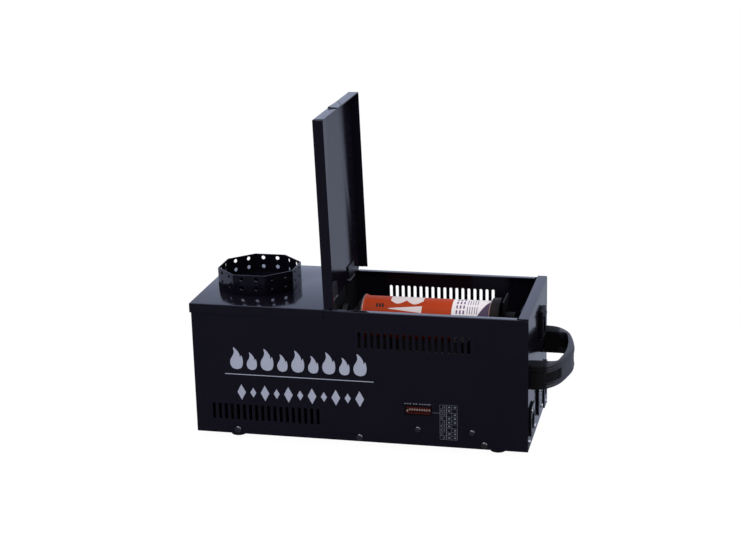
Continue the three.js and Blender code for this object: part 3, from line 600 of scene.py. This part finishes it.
PATTERNS = {
    "casing_paint": powder_coat,
    "moulded_socket": socket_plastic,
    "moulded_grip": grip_plastic,
    "can_print": can_print,
    "switch_bank": switch_bank,
    "front_print": front_ink,
}

# colour, roughness, and what differs from the defaults of plain
PLAIN = {
    "inside_paint": ((0.005, 0.005, 0.006), 0.6, {"gloss": DULL}),
    "switch_plastic": ((0.005, 0.005, 0.008), 0.5, {"gloss": DULL}),
    "pusher_plastic": ((0.008, 0.005, 0.006), 0.5, {"gloss": DULL}),
    "foot_rubber": ((0.014, 0.014, 0.015), 0.75, {"spread": 0.2, "grain": 0.9}),
    "cast_resin": ((0.016, 0.016, 0.018), 0.5, {}),
    "glazed_ceramic": ((0.80, 0.77, 0.70), 0.22, {"spread": 0.04}),
    "circuit_board": ((0.02, 0.11, 0.04), 0.4, {"spread": 0.15}),
    "switch_lever": ((0.28, 0.21, 0.19), 0.4, {"spread": 0.05}),
    "zinc_plate": (
        (0.55, 0.56, 0.58), 0.36, {"metal": 1, "spread": 0.1, "grain": 0.5, "stretch": (1, 6, 6)}
    ),
    "dull_brass": ((0.20, 0.13, 0.05), 0.4, {"metal": 1}),
    "valve_metal": ((0.05, 0.048, 0.05), 0.4, {"metal": 1}),
    "copper_pipe": ((0.62, 0.29, 0.16), 0.32, {"metal": 1}),
    "screw_steel": ((0.24, 0.24, 0.26), 0.22, {"metal": 1}),
    "panel_screw": ((0.62, 0.62, 0.66), 0.25, {"metal": 1}),
    "blackened_hinge": ((0.045, 0.045, 0.05), 0.34, {"metal": 0.9}),
}


def material(name):
    """The finish of that name, made when it is first used."""
    if name in bpy.data.materials:
        return bpy.data.materials[name]
    paint = Paint(name)
    if name in PATTERNS:
        PATTERNS[name](paint)
    else:
        colour, rough, others = PLAIN[name]
        plain(paint, colour, rough, **others)
    return paint.material


# Settings


def colour_setting(name, description, colour):
    return bpy.props.FloatVectorProperty(
        name=name, description=description, subtype="COLOR", default=colour
    )


class MachineSettings(bpy.types.PropertyGroup):
    """Sizes and colours of the machine's finish"""

    sheet: bpy.props.FloatProperty(
        name="Sheet", description="Thickness of the casing's steel, mm", default=1.0, min=0.5, max=2
    )
    fold_radius: bpy.props.FloatProperty(
        name="Fold radius", description="Outer radius of folds, mm", default=1.1, min=0.3, max=3
    )
    casing_colour: colour_setting("Casing", "Powder coat", (0.0055, 0.0043, 0.0085))
    sheen_colour: colour_setting("Sheen", "Tint of the powder coat's gloss", (0.68, 0.75, 1.0))
    print_colour: colour_setting("Print", "Front print", (0.37, 0.40, 0.52))
    can_colour: colour_setting("Can", "Can's ground colour", (0.42, 0.040, 0.004))


# Pieces


def vents(name, first_x, z, y):
    """Cutters for one row of upright vent slots with round ends."""
    radius = VENT_WIDTH / 2 - 0.01
    outline = rounded_outline(first_x, z, VENT_WIDTH, VENT_HEIGHT, radius)
    first = prism(name, "y", outline, y)
    shifts = ((i * VENT_PITCH, 0, 0) for i in range(1, VENT_COUNT))
    return joined([first, *(copied(first, name, shift) for shift in shifts)])


class CasingOperator(bpy.types.Operator):
    """Folded front, left end and back in one sheet, with vents and the window of the switch bank"""

    bl_idname = "flame.casing"
    bl_label = "Casing"

    def execute(self, context):
        shell = sheet_box("casing", (0, LENGTH), (0, DEPTH), (0, HEIGHT), UP, DOWN, RIGHT)
        # the edge of each top flange, and where the flange runs from it
        flanges = [
            (edge_at(y=0, z=HEIGHT), (0, 12, -1.9)),
            (edge_at(y=DEPTH, z=HEIGHT), (0, -6.5, 0)),
            (edge_at(x=0, z=HEIGHT), (10, 0, 0)),
        ]
        for test, shift in flanges:
            pick(shell, "EDGE", test)
            bpy.ops.mesh.extrude_edges_move(TRANSFORM_OT_translate={"value": Vector(shift) * MM})
            done()
        folds = [test for test, shift in flanges]
        folds += [edge_at(x=0, y=0), edge_at(x=0, y=DEPTH)]
        fold(shell, lambda edge: any(test(edge) for test in folds))
        through_front, through_back = (-2, 3), (145, 150)
        cut(
            shell,
            vents("low_vent", 20, 24.2, through_front),
            vents("high_vent", 178, 110, through_front),
            vents("back_vent", 179.6, 114.8, through_back),
            block("window", (223.8, 252.0), through_front, (32.75, 43.45)),
            block("flange_end", (337.6, 352), (1.02, 146.98), (136, 142)),
        )
        put(smoothed(shell), "casing_paint", "black_powder", "outer_shell")
        return {"FINISHED"}


class CoverOperator(bpy.types.Operator):
    """Fixed cover with its folded skirt and the flame opening"""

    bl_idname = "flame.cover"
    bl_label = "Cover"

    def execute(self, context):
        spans = (-OUT, COVER_END), (-OUT, DEPTH + OUT), (COVER_FOOT, TOP)
        cover = sheet_box("cover", *spans, DOWN, RIGHT)

        def folded(edge):
            on_top = edge_at(z=TOP)(edge) and not edge_at(x=COVER_END)(edge)
            at_left_end = edge_at(x=-OUT)(edge) and not edge_at(z=COVER_FOOT)(edge)
            return on_top or at_left_end

        fold(cover, folded)
        cut(cover, drum("throat", "z", 62, (138, 144), COLLAR_CENTRE, 64))
        put(smoothed(cover), "casing_paint", "black_powder", "top_cover")
        return {"FINISHED"}


class CollarOperator(bpy.types.Operator):
    """Octagonal flame collar of perforated strip, turned in at its foot"""

    bl_idname = "flame.collar"
    bl_label = "Flame collar"

    def execute(self, context):
        centre_x, centre_y = COLLAR_CENTRE
        eighth = math.pi / 8

        def octagon(across):
            reach = across / 2 / math.cos(eighth)
            angles = [eighth * (2 * i + 1) for i in range(8)]
            return [
                (centre_x + reach * math.cos(a), centre_y + reach * math.sin(a)) for a in angles
            ]

        collar = prism("flame_collar_strip", "z", octagon(COLLAR_ACROSS), (141.45, 162.9))
        soften(collar, 0.25, 2)
        cut(
            collar,
            prism("hollow", "z", octagon(79.7), (142.7, 165)),
            prism("mouth", "z", octagon(66.1), (140, 144)),
        )
        drill = drum("drill", "y", 4.2, (-60, 60), (0, 0), 20)
        drill.data.transform(Matrix.Translation(-at(0, 0, 0)))
        aside = 0.235 * COLLAR_ACROSS * math.tan(eighth)
        for face in range(4):
            turn = Matrix.Rotation(face * math.pi / 4, 4, "Z")
            for side in (-aside, aside):
                along = Matrix.Translation(Vector((side, 0, 0)) * MM)
                for z in (158.8, 149.1):
                    hole = copied(drill, "hole", (0, 0, 0))
                    centre = Matrix.Translation(at(centre_x, centre_y, z))
                    hole.data.transform(centre @ turn @ along)
                    cut(collar, hole)
        bpy.data.objects.remove(drill)
        put(smoothed(collar), "casing_paint", "black_powder", "flame_collar")
        return {"FINISHED"}


class LidOperator(bpy.types.Operator):
    """Hinged tray lid with a bent finger tab in its free end, drawn closed and turned open"""

    bl_idname = "flame.lid"
    bl_label = "Lid"

    def execute(self, context):
        spans = (LID_START, LID_END), (-OUT, DEPTH + OUT), (LID_FOOT, TOP)
        lid = sheet_box("lid_tray", *spans, DOWN, LEFT)
        fold(lid, lambda edge: edge_at(z=TOP)(edge) and not edge_at(x=LID_START)(edge))
        for y in HINGES_Y:
            cut(lid, block("hinge_gap", (140, 146.3), (y - 14, y + 14), (128, 143)))
        # where the skirt stays clear of the casing, at the front and likewise at the back
        for x, (low, high), z in [
            ((330, 341), (-0.25, 1.3), (128, 140.25)),
            ((338.1, 341), (-3, 1.3), (128, 140.1)),
            ((142, 146), (-3, -0.25), (128, 140.2)),
        ]:
            cut(
                lid,
                block("near_gap", x, (low, high), z),
                block("far_gap", x, (DEPTH - high, DEPTH - low), z),
            )
        gap = [(56.2, 128), (70, 128), (70, 130.3), (92.6, 140.3), (56.2, 140.3)]
        groove = [(70.6, 129), (72.2, 129), (99.2, 141.5), (97.6, 141.5)]
        cut(
            lid,
            prism("tab_gap", "x", gap, (336, 342)),
            prism("crease", "x", groove, (338.4, 342)),
        )
        foot_y, foot_z = 70.2, 130.35
        flap = [(57.4, foot_z), (foot_y, foot_z), (92.8, 140.2), (57.4, 140.2)]
        tab = prism("finger_tab", "x", flap, (338.2, LID_END))
        crease = Vector((22.6, 10)).normalized()
        bend = 0.1
        for vertex in tab.data.vertices:
            place = (vertex.co - CORNER) / MM
            away = crease.x * (place.z - foot_z) - crease.y * (place.y - foot_y)
            vertex.co.x += away * bend * MM
        lid = joined([smoothed(lid), smoothed(tab)])
        pin = at(PIN_X, 0, PIN_Z)
        turn = Matrix.Rotation(math.radians(-OPENING), 4, "Y")
        lid.data.transform(Matrix.Translation(pin) @ turn @ Matrix.Translation(-pin))
        put(lid, "casing_paint", "black_powder", "lid", body="lid")
        return {"FINISHED"}


class RearPanelOperator(bpy.types.Operator):
    """Rear panel with its folded top flange and its openings"""

    bl_idname = "flame.rear_panel"
    bl_label = "Rear panel"

    def execute(self, context):
        spans = (340, LENGTH), (0, DEPTH), (0.3, TOP)
        panel = sheet_box("rear_plate", *spans, DOWN, LEFT, FRONT, BACK)
        fold(panel, edge_at(x=LENGTH, z=TOP))
        cut(
            panel,
            block("near_edge", (339, 352), (-2, 1.25), (-2, 140.25)),
            block("far_edge", (339, 352), (146.75, 150), (-2, 140.25)),
            *(drum("socket_hole", "x", 24, THROUGH_PANEL, (y, SOCKET_Z)) for y in SOCKETS_Y),
            block("mains_hole", THROUGH_PANEL, (113.7, 134.3), (14, 42)),
            block("switch_hole", THROUGH_PANEL, (81.7, 104.3), (93.2, 121.8)),
        )
        put(smoothed(panel), "casing_paint", "black_powder", "rear_panel")
        return {"FINISHED"}


class CanOperator(bpy.types.Operator):
    """Aerosol gas can with its seamed shoulder, valve cup and stem"""

    bl_idname = "flame.can"
    bl_label = "Gas can"

    def execute(self, context):
        dome = [(32 + 6 * math.sin(a), 161.3 + 3.2 * (1 - math.cos(a))) for a in (0.5, 1.0, 1.5)]
        can_profile = [
            (0, 159.3), (22.6, 159.3), (24.4, 159.5), (25.4, 160.1), (25.4, 161.0), (24.6, 161.5),
            (27, 161.6), *dome, (40.5, 165.6), (43.5, 167.3), (45.0, 167.0), (46.2, 166.6),
            (47.2, 167.0), (47.6, 167.8), (47.6, 168.9), (47.1, 169.5), (45.6, 169.8),
            (45, 170.4), (45, 300.8), (44.7, 301.6), (43.8, 302.2), (42, 302.5), (0, 302.5),
        ]
        valve_profile = [
            (0, 150.3), (3.2, 150.3), (4, 150.7), (4, 154.2), (8, 154.2), (9, 154.8),
            (9, 155.6), (17, 155.6), (18, 156.2), (18, 159), (0, 159),
        ]
        can = smoothed(spun("gas_can", "x", can_profile, CAN_AXIS, 96), 50)
        put(can, "can_print", "can_paint", "gas_can_body", body="gas_can")
        valve = smoothed(spun("can_valve", "x", valve_profile, CAN_AXIS, 48))
        put(valve, "valve_metal", "brass", "gas_can_valve", body="gas_can")
        return {"FINISHED"}


class PusherOperator(bpy.types.Operator):
    """Sprung pusher cup behind the can"""

    bl_idname = "flame.pusher"
    bl_label = "Can pusher"

    def execute(self, context):
        profile = [
            (0, 304.4), (43, 304.4), (44, 303.6), (44, 303.1), (45, 302.8), (50.6, 302.8),
            (51.7, 303.3), (52, 304.2), (52, 311), (51.4, 311.8), (10, 311.8), (8, 312.4),
            (8, 317.2), (10.2, 317.2), (10.4, 317.5), (10.4, 318.6), (10, 318.9), (0, 318.9),
        ]
        cup = smoothed(spun("pusher_cup", "x", profile, CAN_AXIS, 72))
        put(cup, "pusher_plastic", "black_plastic", "can_pusher", body="pusher")
        return {"FINISHED"}


class HandleOperator(bpy.types.Operator):
    """Moulded grip on the rear panel, bowed, with ridges along it and a sunk patch near each end"""

    bl_idname = "flame.handle"
    bl_label = "Handle"

    def execute(self, context):
        # half of each face seen from above: across from the middle, and out from the panel
        outer_half = [
            (66.5, 0), (66.2, 5), (65.2, 10), (61.9, 16), (57, 21), (51.5, 25), (43.5, 29),
            (33.5, 32), (22.5, 34.5), (11.5, 36.6), (0, 37.4),
        ]
        inner_half = [
            (46, 0), (46, 8), (45.9, 16), (45.2, 21), (43, 24.4), (38.5, 26.4), (29.5, 28),
            (20.5, 29.5), (10.5, 30.3), (0, 30.6),
        ]
        # height, and how far the outer and inner faces draw in there
        levels = [
            (64.0, 2.0, 2.2), (64.2, 1.4, 2.4), (64.8, 0.9, 2.6), (66.0, 0.7, 2.6),
            (66.8, 1.2, 2.6), (67.4, 0.4, 2.6), (68.0, 1.2, 2.6), (70.4, 1.0, 2.6),
            (70.8, 1.0, 2.6), (80.8, 1.0, 2.6), (81.2, 1.0, 2.6), (82.2, 1.3, 2.6),
            (82.8, 0.4, 2.6), (83.4, 1.2, 2.6), (84.0, 1.2, 2.5), (84.6, 0.4, 2.0),
            (85.2, 1.1, 1.2), (86.2, 0.9, 0.0), (87.6, 0.9, -0.8), (88.4, 1.3, -0.6),
            (88.8, 1.9, 0.0), (89.0, 2.6, 0.8),
        ]
        patch_depth = 0.8

        def whole(half):
            near_side = [(SEAT + out, GRIP_Y - across) for across, out in half]
            far_side = [(SEAT + out, GRIP_Y + across) for across, out in reversed(half[:-1])]
            return smooth_line([*near_side, *far_side])

        def sunk(place, height):
            in_patch = PATCH_X[0] < place[0] < PATCH_X[1] and PATCH_Z[0] < height < PATCH_Z[1]
            return patch_depth if in_patch else 0

        rings = []
        for height, out, back in levels:
            outer = drawn_in(whole(outer_half), lambda place: out + sunk(place, height))
            inner = drawn_in(whole(inner_half), lambda place: -back)
            rings.append([(x, y, height) for x, y in [*outer, *reversed(inner)]])
        grip = smoothed(lofted("grip", rings), 40)
        put(grip, "moulded_grip", "black_plastic", "handle")
        return {"FINISHED"}


# shares of a pan head's diameter and of its height, from its top to its foot
PAN_PROFILE = [(0, 1), (0.45, 0.97), (0.75, 0.8), (0.93, 0.5), (1, 0.1), (1, 0), (0, 0)]


def pan_head(name, axis, centre, face, size):
    """A domed screw head with a cross recess, on a face that looks to the front or the right."""
    height = HEAD_HEIGHT * size / HEAD
    outwards = {"x": height, "y": -height}[axis]
    profile = [(size * wide, face + outwards * high) for wide, high in PAN_PROFILE]
    head = spun(name, axis, profile, centre, 40)
    tip = face + outwards * (1 + 0.4 / height)
    floor = face + outwards * 0.45
    along = (min(tip, floor), max(tip, floor))
    arm, thick = size * 0.27, size * 0.065
    a, b = centre
    for wide, high in ((arm, thick), (thick, arm)):
        spans = onto(axis, along, ((a - wide, a + wide), (b - high, b + high)))
        cut(head, block("recess", *spans))
    return smoothed(head)


def screws(axis, places, face, size, finish, nodes=()):
    heads = repeated(axis, places, lambda name, place: pan_head(name, axis, place, face, size))
    for i, head in enumerate(heads):
        put(head, finish, "zinc_steel", *nodes[i : i + 1])


class ScrewsOperator(bpy.types.Operator):
    """Screws along the foot of the front, at the switch board and on the rear panel"""

    bl_idname = "flame.screws"
    bl_label = "Screws"

    def execute(self, context):
        foot_row = {f"front_screw_{i}": (x, 4.6) for i, x in enumerate((45, 175.8, 305.5), 1)}
        nodes = ["pan_screw_1", "pan_screw_2", "pan_screw_3"]
        screws("y", foot_row, -0.3, HEAD, "screw_steel", nodes)
        board_row = {"board_screw_1": (236.9, 17.2), "board_screw_2": (292.8, 17.2)}
        screws("y", board_row, 0, 6.6, "screw_steel")
        panel_row = {
            "panel_screw_1": (9, 7.5), "panel_screw_2": (52, 8.5), "panel_screw_3": (104, 8.5),
        }
        screws("x", panel_row, LENGTH, 6.2, "panel_screw")
        return {"FINISHED"}


def socket_plate(name, y):
    """Flange of a round socket with its solid barrel."""
    outline = rounded_outline(y, SOCKET_Z, 26, 31, 3)
    plate = soften(prism(name, "x", outline, (SEAT, SOCKET_FACE)), 0.5)
    unite(plate, drum("barrel", "x", 23.4, (BACK_END, 350.8), (y, SOCKET_Z), 64))
    return plate


class SocketsOperator(bpy.types.Operator):
    """Two round control sockets, one with pins and one with holes and a latch"""

    bl_idname = "flame.sockets"
    bl_label = "Sockets"

    def execute(self, context):
        # the three contacts' places about a socket's axis
        contacts = [(4.1 * math.cos(a), 4.1 * math.sin(a)) for a in (1.571, 3.665, 5.760)]
        pins_y, holes_y = SOCKETS_Y
        centre = (pins_y, SOCKET_Z)
        male = socket_plate("pin_socket", pins_y)
        cut(
            male,
            drum("mouth", "x", 19.4, (341.3, 354), centre, 64),
            drum("lip", "x", 21, (351.6, 354), centre, 64),
        )
        put(smoothed(male), "moulded_socket", "black_plastic", "dmx_in_socket")
        profile = [(0, 340.9), (2.4, 340.9), (2.4, 349.2), (1.8, 350.1), (0, 350.4)]
        places = {
            f"socket_pin_{i}": (pins_y + dy, SOCKET_Z + dz)
            for i, (dy, dz) in enumerate(contacts, 1)
        }
        for pin in repeated("x", places, lambda name, at_: spun(name, "x", profile, at_, 20)):
            put(smoothed(pin), "zinc_plate", "zinc_steel")
        centre = (holes_y, SOCKET_Z)
        female = socket_plate("hole_socket", holes_y)
        groove = drum("groove", "x", 19.4, (341.3, 354), centre, 64)
        cut(groove, drum("plug", "x", 16, (340, 356), centre, 64))
        cut(female, groove, block("pocket", (344.4, 354), (76.7, 83.3), (36.3, 39.7)))
        for dy, dz in contacts:
            cut(female, drum("contact", "x", 3, (343.3, 354), (holes_y + dy, SOCKET_Z + dz), 24))
        put(smoothed(female), "moulded_socket", "black_plastic", "dmx_out_socket")
        latch = soften(block("latch_key", (346.1, 354.1), (77, 83), (36.6, 39.4)), 0.5)
        put(latch, "zinc_plate", "zinc_steel", "dmx_out_latch", body="latch")
        places = {
            f"socket_screw_{i}{j}": (y + dy, SOCKET_Z + dz)
            for i, y in enumerate(SOCKETS_Y)
            for j, (dy, dz) in enumerate(((-9.5, 12), (9.5, -12)))
        }
        screws("x", places, SOCKET_FACE, 5, "panel_screw")
        return {"FINISHED"}


class MainsInletOperator(bpy.types.Operator):
    """Upright mains inlet with three blades"""

    bl_idname = "flame.mains_inlet"
    bl_label = "Mains inlet"

    def execute(self, context):
        y, z = MAINS
        outline = rounded_outline(y, z, 23, 50, 4)
        plate = soften(prism("mains_plate", "x", outline, (SEAT, MAINS_FACE)), 0.5)
        unite(plate, block("box", (BACK_END, 351), (114, 134), (14.3, 41.7)))
        left, right, low, high = y - 7.8, y + 7.8, z - 11.5, z + 11.5
        chamfer = 4
        mouth = [
            (left, low), (right - chamfer, low), (right, low + chamfer),
            (right, high - chamfer), (right - chamfer, high), (left, high),
        ]
        cut(plate, prism("mouth", "x", mouth, (337.5, 354)))
        put(smoothed(plate), "moulded_socket", "black_plastic", "power_inlet")

        def blade(name, place):
            across, up = place
            spans = (337.2, 348.5), (across - 2, across + 2), (up - 1, up + 1)
            return soften(block(name, *spans), 0.6, 2)

        places = {
            "mains_blade_1": (y - 2.2, z - 7),
            "mains_blade_2": (y + 2.2, z),
            "mains_blade_3": (y - 2.2, z + 7),
        }
        for piece in repeated("x", places, blade):
            put(piece, "zinc_plate", "zinc_steel")
        places = {"mains_screw_1": (y, z - 20), "mains_screw_2": (y, z + 20)}
        screws("x", places, MAINS_FACE, 5, "panel_screw")
        return {"FINISHED"}


class SwitchOperator(bpy.types.Operator):
    """Rocker switch with its bezel and its concave key"""

    bl_idname = "flame.switch"
    bl_label = "Power switch"

    def execute(self, context):
        y, z = SWITCH
        bezel = prism("switch_bezel", "x", rounded_outline(y, z, 25, 31, 2), (SEAT, 354.3))
        soften(bezel, 0.7)
        unite(bezel, block("box", (BACK_END, 351), (82, 104), (93.5, 121.5)))
        cut(bezel, block("well", (343.3, 356), (83.6, 102.4), (95.2, 119.8)))
        put(smoothed(bezel), "switch_plastic", "black_plastic", "power_switch_body")
        # the key about its pivot, out of the panel and up, before it is tilted
        level = [
            (7.3, 10.6), (3, 11.2), (-3, 4), (-3, -4), (3, -11.2), (7.3, -10.6), (6.2, -6.2),
            (5.7, -2.6), (5.5, 0), (5.7, 2.6), (6.2, 6.2),
        ]
        pivot = Vector((347.3, z))
        tilt = Matrix.Rotation(math.radians(-10), 2)
        outline = [pivot + tilt @ Vector(point) for point in level]
        key = soften(prism("switch_key", "y", outline, (84, 102)), 0.5)
        put(key, "switch_plastic", "black_plastic", "power_switch_rocker", body="rocker")
        return {"FINISHED"}


class FeetOperator(bpy.types.Operator):
    """Four rubber feet"""

    bl_idname = "flame.feet"
    bl_label = "Feet"

    def execute(self, context):
        profile = [
            (0, -8), (15, -8), (16.4, -7.6), (17, -6.6), (17.6, -5), (20, -0.2), (0, -0.2),
        ]
        corners = [(x, y) for x in (39.5, 316.6) for y in (20.5, 127.5)]
        places = {f"foot_pad_{i}": corner for i, corner in enumerate(corners, 1)}
        pads = repeated("z", places, lambda name, at_: spun(name, "z", profile, at_, 48))
        for i, pad in enumerate(pads, 1):
            put(smoothed(pad), "foot_rubber", "black_rubber", f"foot_{i}")
        return {"FINISHED"}


def mark(outline):
    """A flat printed shape on the front face."""
    return prism("mark", "y", outline, (-0.06, 0.02))


def bar(x, z):
    return mark([(x[0], z[0]), (x[1], z[0]), (x[1], z[1]), (x[0], z[1])])


class PrintOperator(bpy.types.Operator):
    """Front print: a row of flame tongues over a rule, a row of lozenges, and the switch table"""

    bl_idname = "flame.print"
    bl_label = "Front print"

    def execute(self, context):
        marks = [*self.ornament(), *self.table()]
        marks[0].name = "front_print"
        put(joined(marks), "front_print", "lever_white")
        return {"FINISHED"}

    @staticmethod
    def ornament():
        yield bar((33.9, 191.9), (65.6, 66.4))
        tongue = [
            (0, 0), (-3.6, 1.2), (-5.4, 4.6), (-5.0, 8.6), (-3.0, 12.0), (-2.0, 15.2), (-2.4, 19),
            (0.6, 16.6), (2.6, 13.4), (3.2, 10.6), (4.4, 12.2), (5.4, 8.4), (5.2, 4.2), (3.6, 1.2),
        ]
        outline = smooth_line([*tongue, tongue[0]])[:-1]
        for i in range(9):
            size = 1.0 if i % 2 else 1.25
            middle = 47 + i * 16.4
            yield mark([(middle + a * size, 71.5 + b * size) for a, b in outline])
        z = 46.5
        for i in range(11):
            wide, tall = (3.2, 5.4) if i % 2 else (4.6, 8.6)
            x = 51 + i * 12.6
            yield mark([(x - wide, z), (x, z - tall), (x + wide, z), (x, z + tall)])

    @staticmethod
    def table():
        """Lines of the switch table, bars for its signs, and bars for the numbers over the bank."""
        for i in range(10):
            low = TABLE_FOOT + i * TABLE_PITCH
            yield bar((260, 278.2), (low, low + 0.25))
        for x, wide in ((260, 0.25), (263.1, 0.25), (266.6, 0.6), (272.2, 0.25), (277.95, 0.25)):
            yield bar((x, x + wide), (TABLE_FOOT, 45.8))
        for row in range(9):
            for column, x in enumerate((261.0, 264.3, 268.6, 274.6)):
                if (row * 3 + column * 5) % 4:
                    wide = 0.9 if column < 2 else 2.2
                    low = TABLE_FOOT + 1.5 + row * TABLE_PITCH
                    yield bar((x, x + wide), (low, low + 1.5))
        for x in (223.6, 226.2, 228.8, 232.6, 235.2, 239.0, 241.6, 244.2, 246.8, 249.0):
            yield bar((x, x + 1.7), (44.4, 45.6))
        yield bar((251.8, 260.1), (36.4, 36.7))


NODE_FINISHES = {
    "casing_paint": ["base_pan"],
    "inside_paint": ["bulkhead", "gas_bay_shelf", "can_end_bracket"],
    "blackened_hinge": [
        "hinge_fixed_leaf_1", "hinge_fixed_leaf_2", "hinge_lid_leaf_1", "hinge_lid_leaf_2",
        "can_cradle_1", "can_cradle_2",
    ],
    "zinc_plate": [
        "pusher_spring", "burner_bench", "electrode_tip_1", "electrode_tip_2",
        "solenoid_plunger", "power_supply",
    ],
    "dull_brass": ["burner_nozzle", "gas_valve_body"],
    "valve_metal": ["gas_inlet_fitting"],
    "copper_pipe": ["gas_pipe_inlet", "gas_pipe_nozzle"],
    "glazed_ceramic": ["electrode_insulator_1", "electrode_insulator_2"],
    "cast_resin": ["ignition_coil", "solenoid_coil"],
    "circuit_board": ["control_board"],
    "switch_bank": ["dip_switch_body"],
    "switch_lever": [f"dip_lever_{i}" for i in range(1, 11)],
}


class InnerFinishOperator(bpy.types.Operator):
    """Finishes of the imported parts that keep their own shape"""

    bl_idname = "flame.inner_finish"
    bl_label = "Inner parts"

    def execute(self, context):
        for finish, nodes in NODE_FINISHES.items():
            for node in nodes:
                dress(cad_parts[node].data, finish)
        return {"FINISHED"}


# Studio

WHITE = (1, 1, 1)
COOL = (0.68, 0.76, 1.0)  # tint of what the gloss mirrors

# the camera that was fitted to the photograph
CAMERA_ANGLES = (13.394, 16.969, -1.431)  # azimuth, elevation and roll, degrees
CAMERA_PLACE = (552.9, -1519.7, 653.9)
PHOTO_WIDTH, FOCAL_LENGTH = 740, 1638.2  # pixels
SENSOR = 36


def lamp(name, place, target, size, power):
    data = bpy.data.lights.new(name, "AREA")
    data.size = size
    data.energy = power
    lamp_object = bpy.data.objects.new(name, data)
    bpy.context.scene.collection.objects.link(lamp_object)
    lamp_object.location = place
    aim = Vector(target) - Vector(place)
    lamp_object.rotation_euler = aim.to_track_quat("-Z", "Y").to_euler()


def studio_world():
    """White where it is seen. What the gloss mirrors is white behind the machine and dim before."""
    world = bpy.data.worlds.new("studio")
    bpy.context.scene.world = world
    world.use_nodes = True
    sky = Nodes(world.node_tree)
    x, y = sky.parts(sky.node("TexCoord").outputs["Generated"])[:2]
    camera, glossy, through = sky.rays("Camera", "Glossy", "Transmission")
    mirrored = y.rise(-0.25, 0.35, 0.12, 0.94) * x.rise(-0.9, -0.45, 0.08, 1.0)
    lit = (1 - glossy) * 0.55 + glossy * mirrored
    seen = camera.high(through)
    tint = sky.mix(glossy, WHITE, COOL)
    strength = seen + (1 - seen) * lit
    background = sky.node("Background", None, Color=tint, Strength=strength)
    sky.node("OutputWorld", None, background.outputs[0])


def floor_paint():
    """Pale floor that keeps a faint shadow, and is dim before the machine in reflections."""
    paint = Paint("pale_floor")
    paint.feed("Base Color", (0.85, 0.85, 0.86))
    paint.feed("Roughness", 0.9)
    paint.feed("Specular IOR Level", 0)
    camera, glossy = paint.rays("Camera", "Glossy")
    behind = paint.y.rise(-20, 120) * 0.42 + 0.04 + (1 - paint.x.rise(-250, 350)) * 0.05
    strength = camera * 1.03 + (1 - camera) * behind
    tint = paint.mix(glossy, WHITE, COOL)
    glow = paint.node("Emission", None, Color=tint, Strength=strength)
    share = (camera * 0.95 + glossy * 0.94).low(1)
    shaders = paint.shader.outputs[0], glow.outputs[0]
    mixed = paint.node("MixShader", None, share, *shaders)
    paint.fill(paint.output.inputs[0], mixed.outputs[0])
    return paint.material


class StageOperator(bpy.types.Operator):
    """Camera at the photograph's viewing angle, pale floor and soft studio light"""

    bl_idname = "flame.stage"
    bl_label = "Stage"

    def execute(self, context):
        azimuth, elevation, roll = (math.radians(angle) for angle in CAMERA_ANGLES)
        level = math.cos(elevation)
        back = Vector(
            (math.sin(azimuth) * level, -math.cos(azimuth) * level, math.sin(elevation))
        )
        right = (-back).cross(UP).normalized()
        up = right.cross(-back)
        side = right * math.cos(roll) + up * math.sin(roll)
        top = up * math.cos(roll) - right * math.sin(roll)
        turn = Matrix((side, top, back)).transposed().to_4x4()
        data = bpy.data.cameras.new("photo_camera")
        data.sensor_width = SENSOR
        data.lens = FOCAL_LENGTH / PHOTO_WIDTH * SENSOR
        camera = bpy.data.objects.new("photo_camera", data)
        context.scene.collection.objects.link(camera)
        camera.matrix_world = Matrix.Translation(at(*CAMERA_PLACE)) @ turn
        context.scene.camera = camera
        context.scene.view_settings.view_transform = "Standard"
        studio_world()
        lamp("overhead", (-0.25, -0.5, 1.7), (0, 0, 0.1), 1.6, 14)
        lamp("right_side", (1.4, -0.2, 0.9), (0.1, 0, 0.1), 1.2, 8)
        deselect()
        bpy.ops.mesh.primitive_plane_add(size=30, location=(0, 0, 0))
        floor = named("floor")
        floor.data.materials.append(floor_paint())
        return {"FINISHED"}


OPERATORS = [
    StageOperator, CasingOperator, CoverOperator, CollarOperator, LidOperator,
    RearPanelOperator, CanOperator, PusherOperator, HandleOperator, SocketsOperator,
    MainsInletOperator, SwitchOperator, ScrewsOperator, FeetOperator, PrintOperator,
    InnerFinishOperator,
]


class MachinePanel(bpy.types.Panel):
    """Lists the settings and the pieces of the flame machine"""

    bl_idname = "VIEW3D_PT_flame_machine"
    bl_label = "Flame Machine"
    bl_space_type = "VIEW_3D"
    bl_region_type = "UI"
    bl_category = "Flame Machine"

    def draw(self, context):
        for name in MachineSettings.__annotations__:
            self.layout.prop(context.scene.flame_machine, name)
        for operator in OPERATORS:
            self.layout.operator(operator.bl_idname)


def register():
    for kind in (MachineSettings, *OPERATORS, MachinePanel):
        bpy.utils.register_class(kind)
    bpy.types.Scene.flame_machine = bpy.props.PointerProperty(type=MachineSettings)


def unregister():
    del bpy.types.Scene.flame_machine
    for kind in (MachinePanel, *reversed(OPERATORS), MachineSettings):
        bpy.utils.unregister_class(kind)


def main():
    register()
    deselect()
    for operator in OPERATORS:
        group, name = operator.bl_idname.split(".")
        getattr(getattr(bpy.ops, group), name)()
    deselect()


if __name__ == "__main__":
    main()
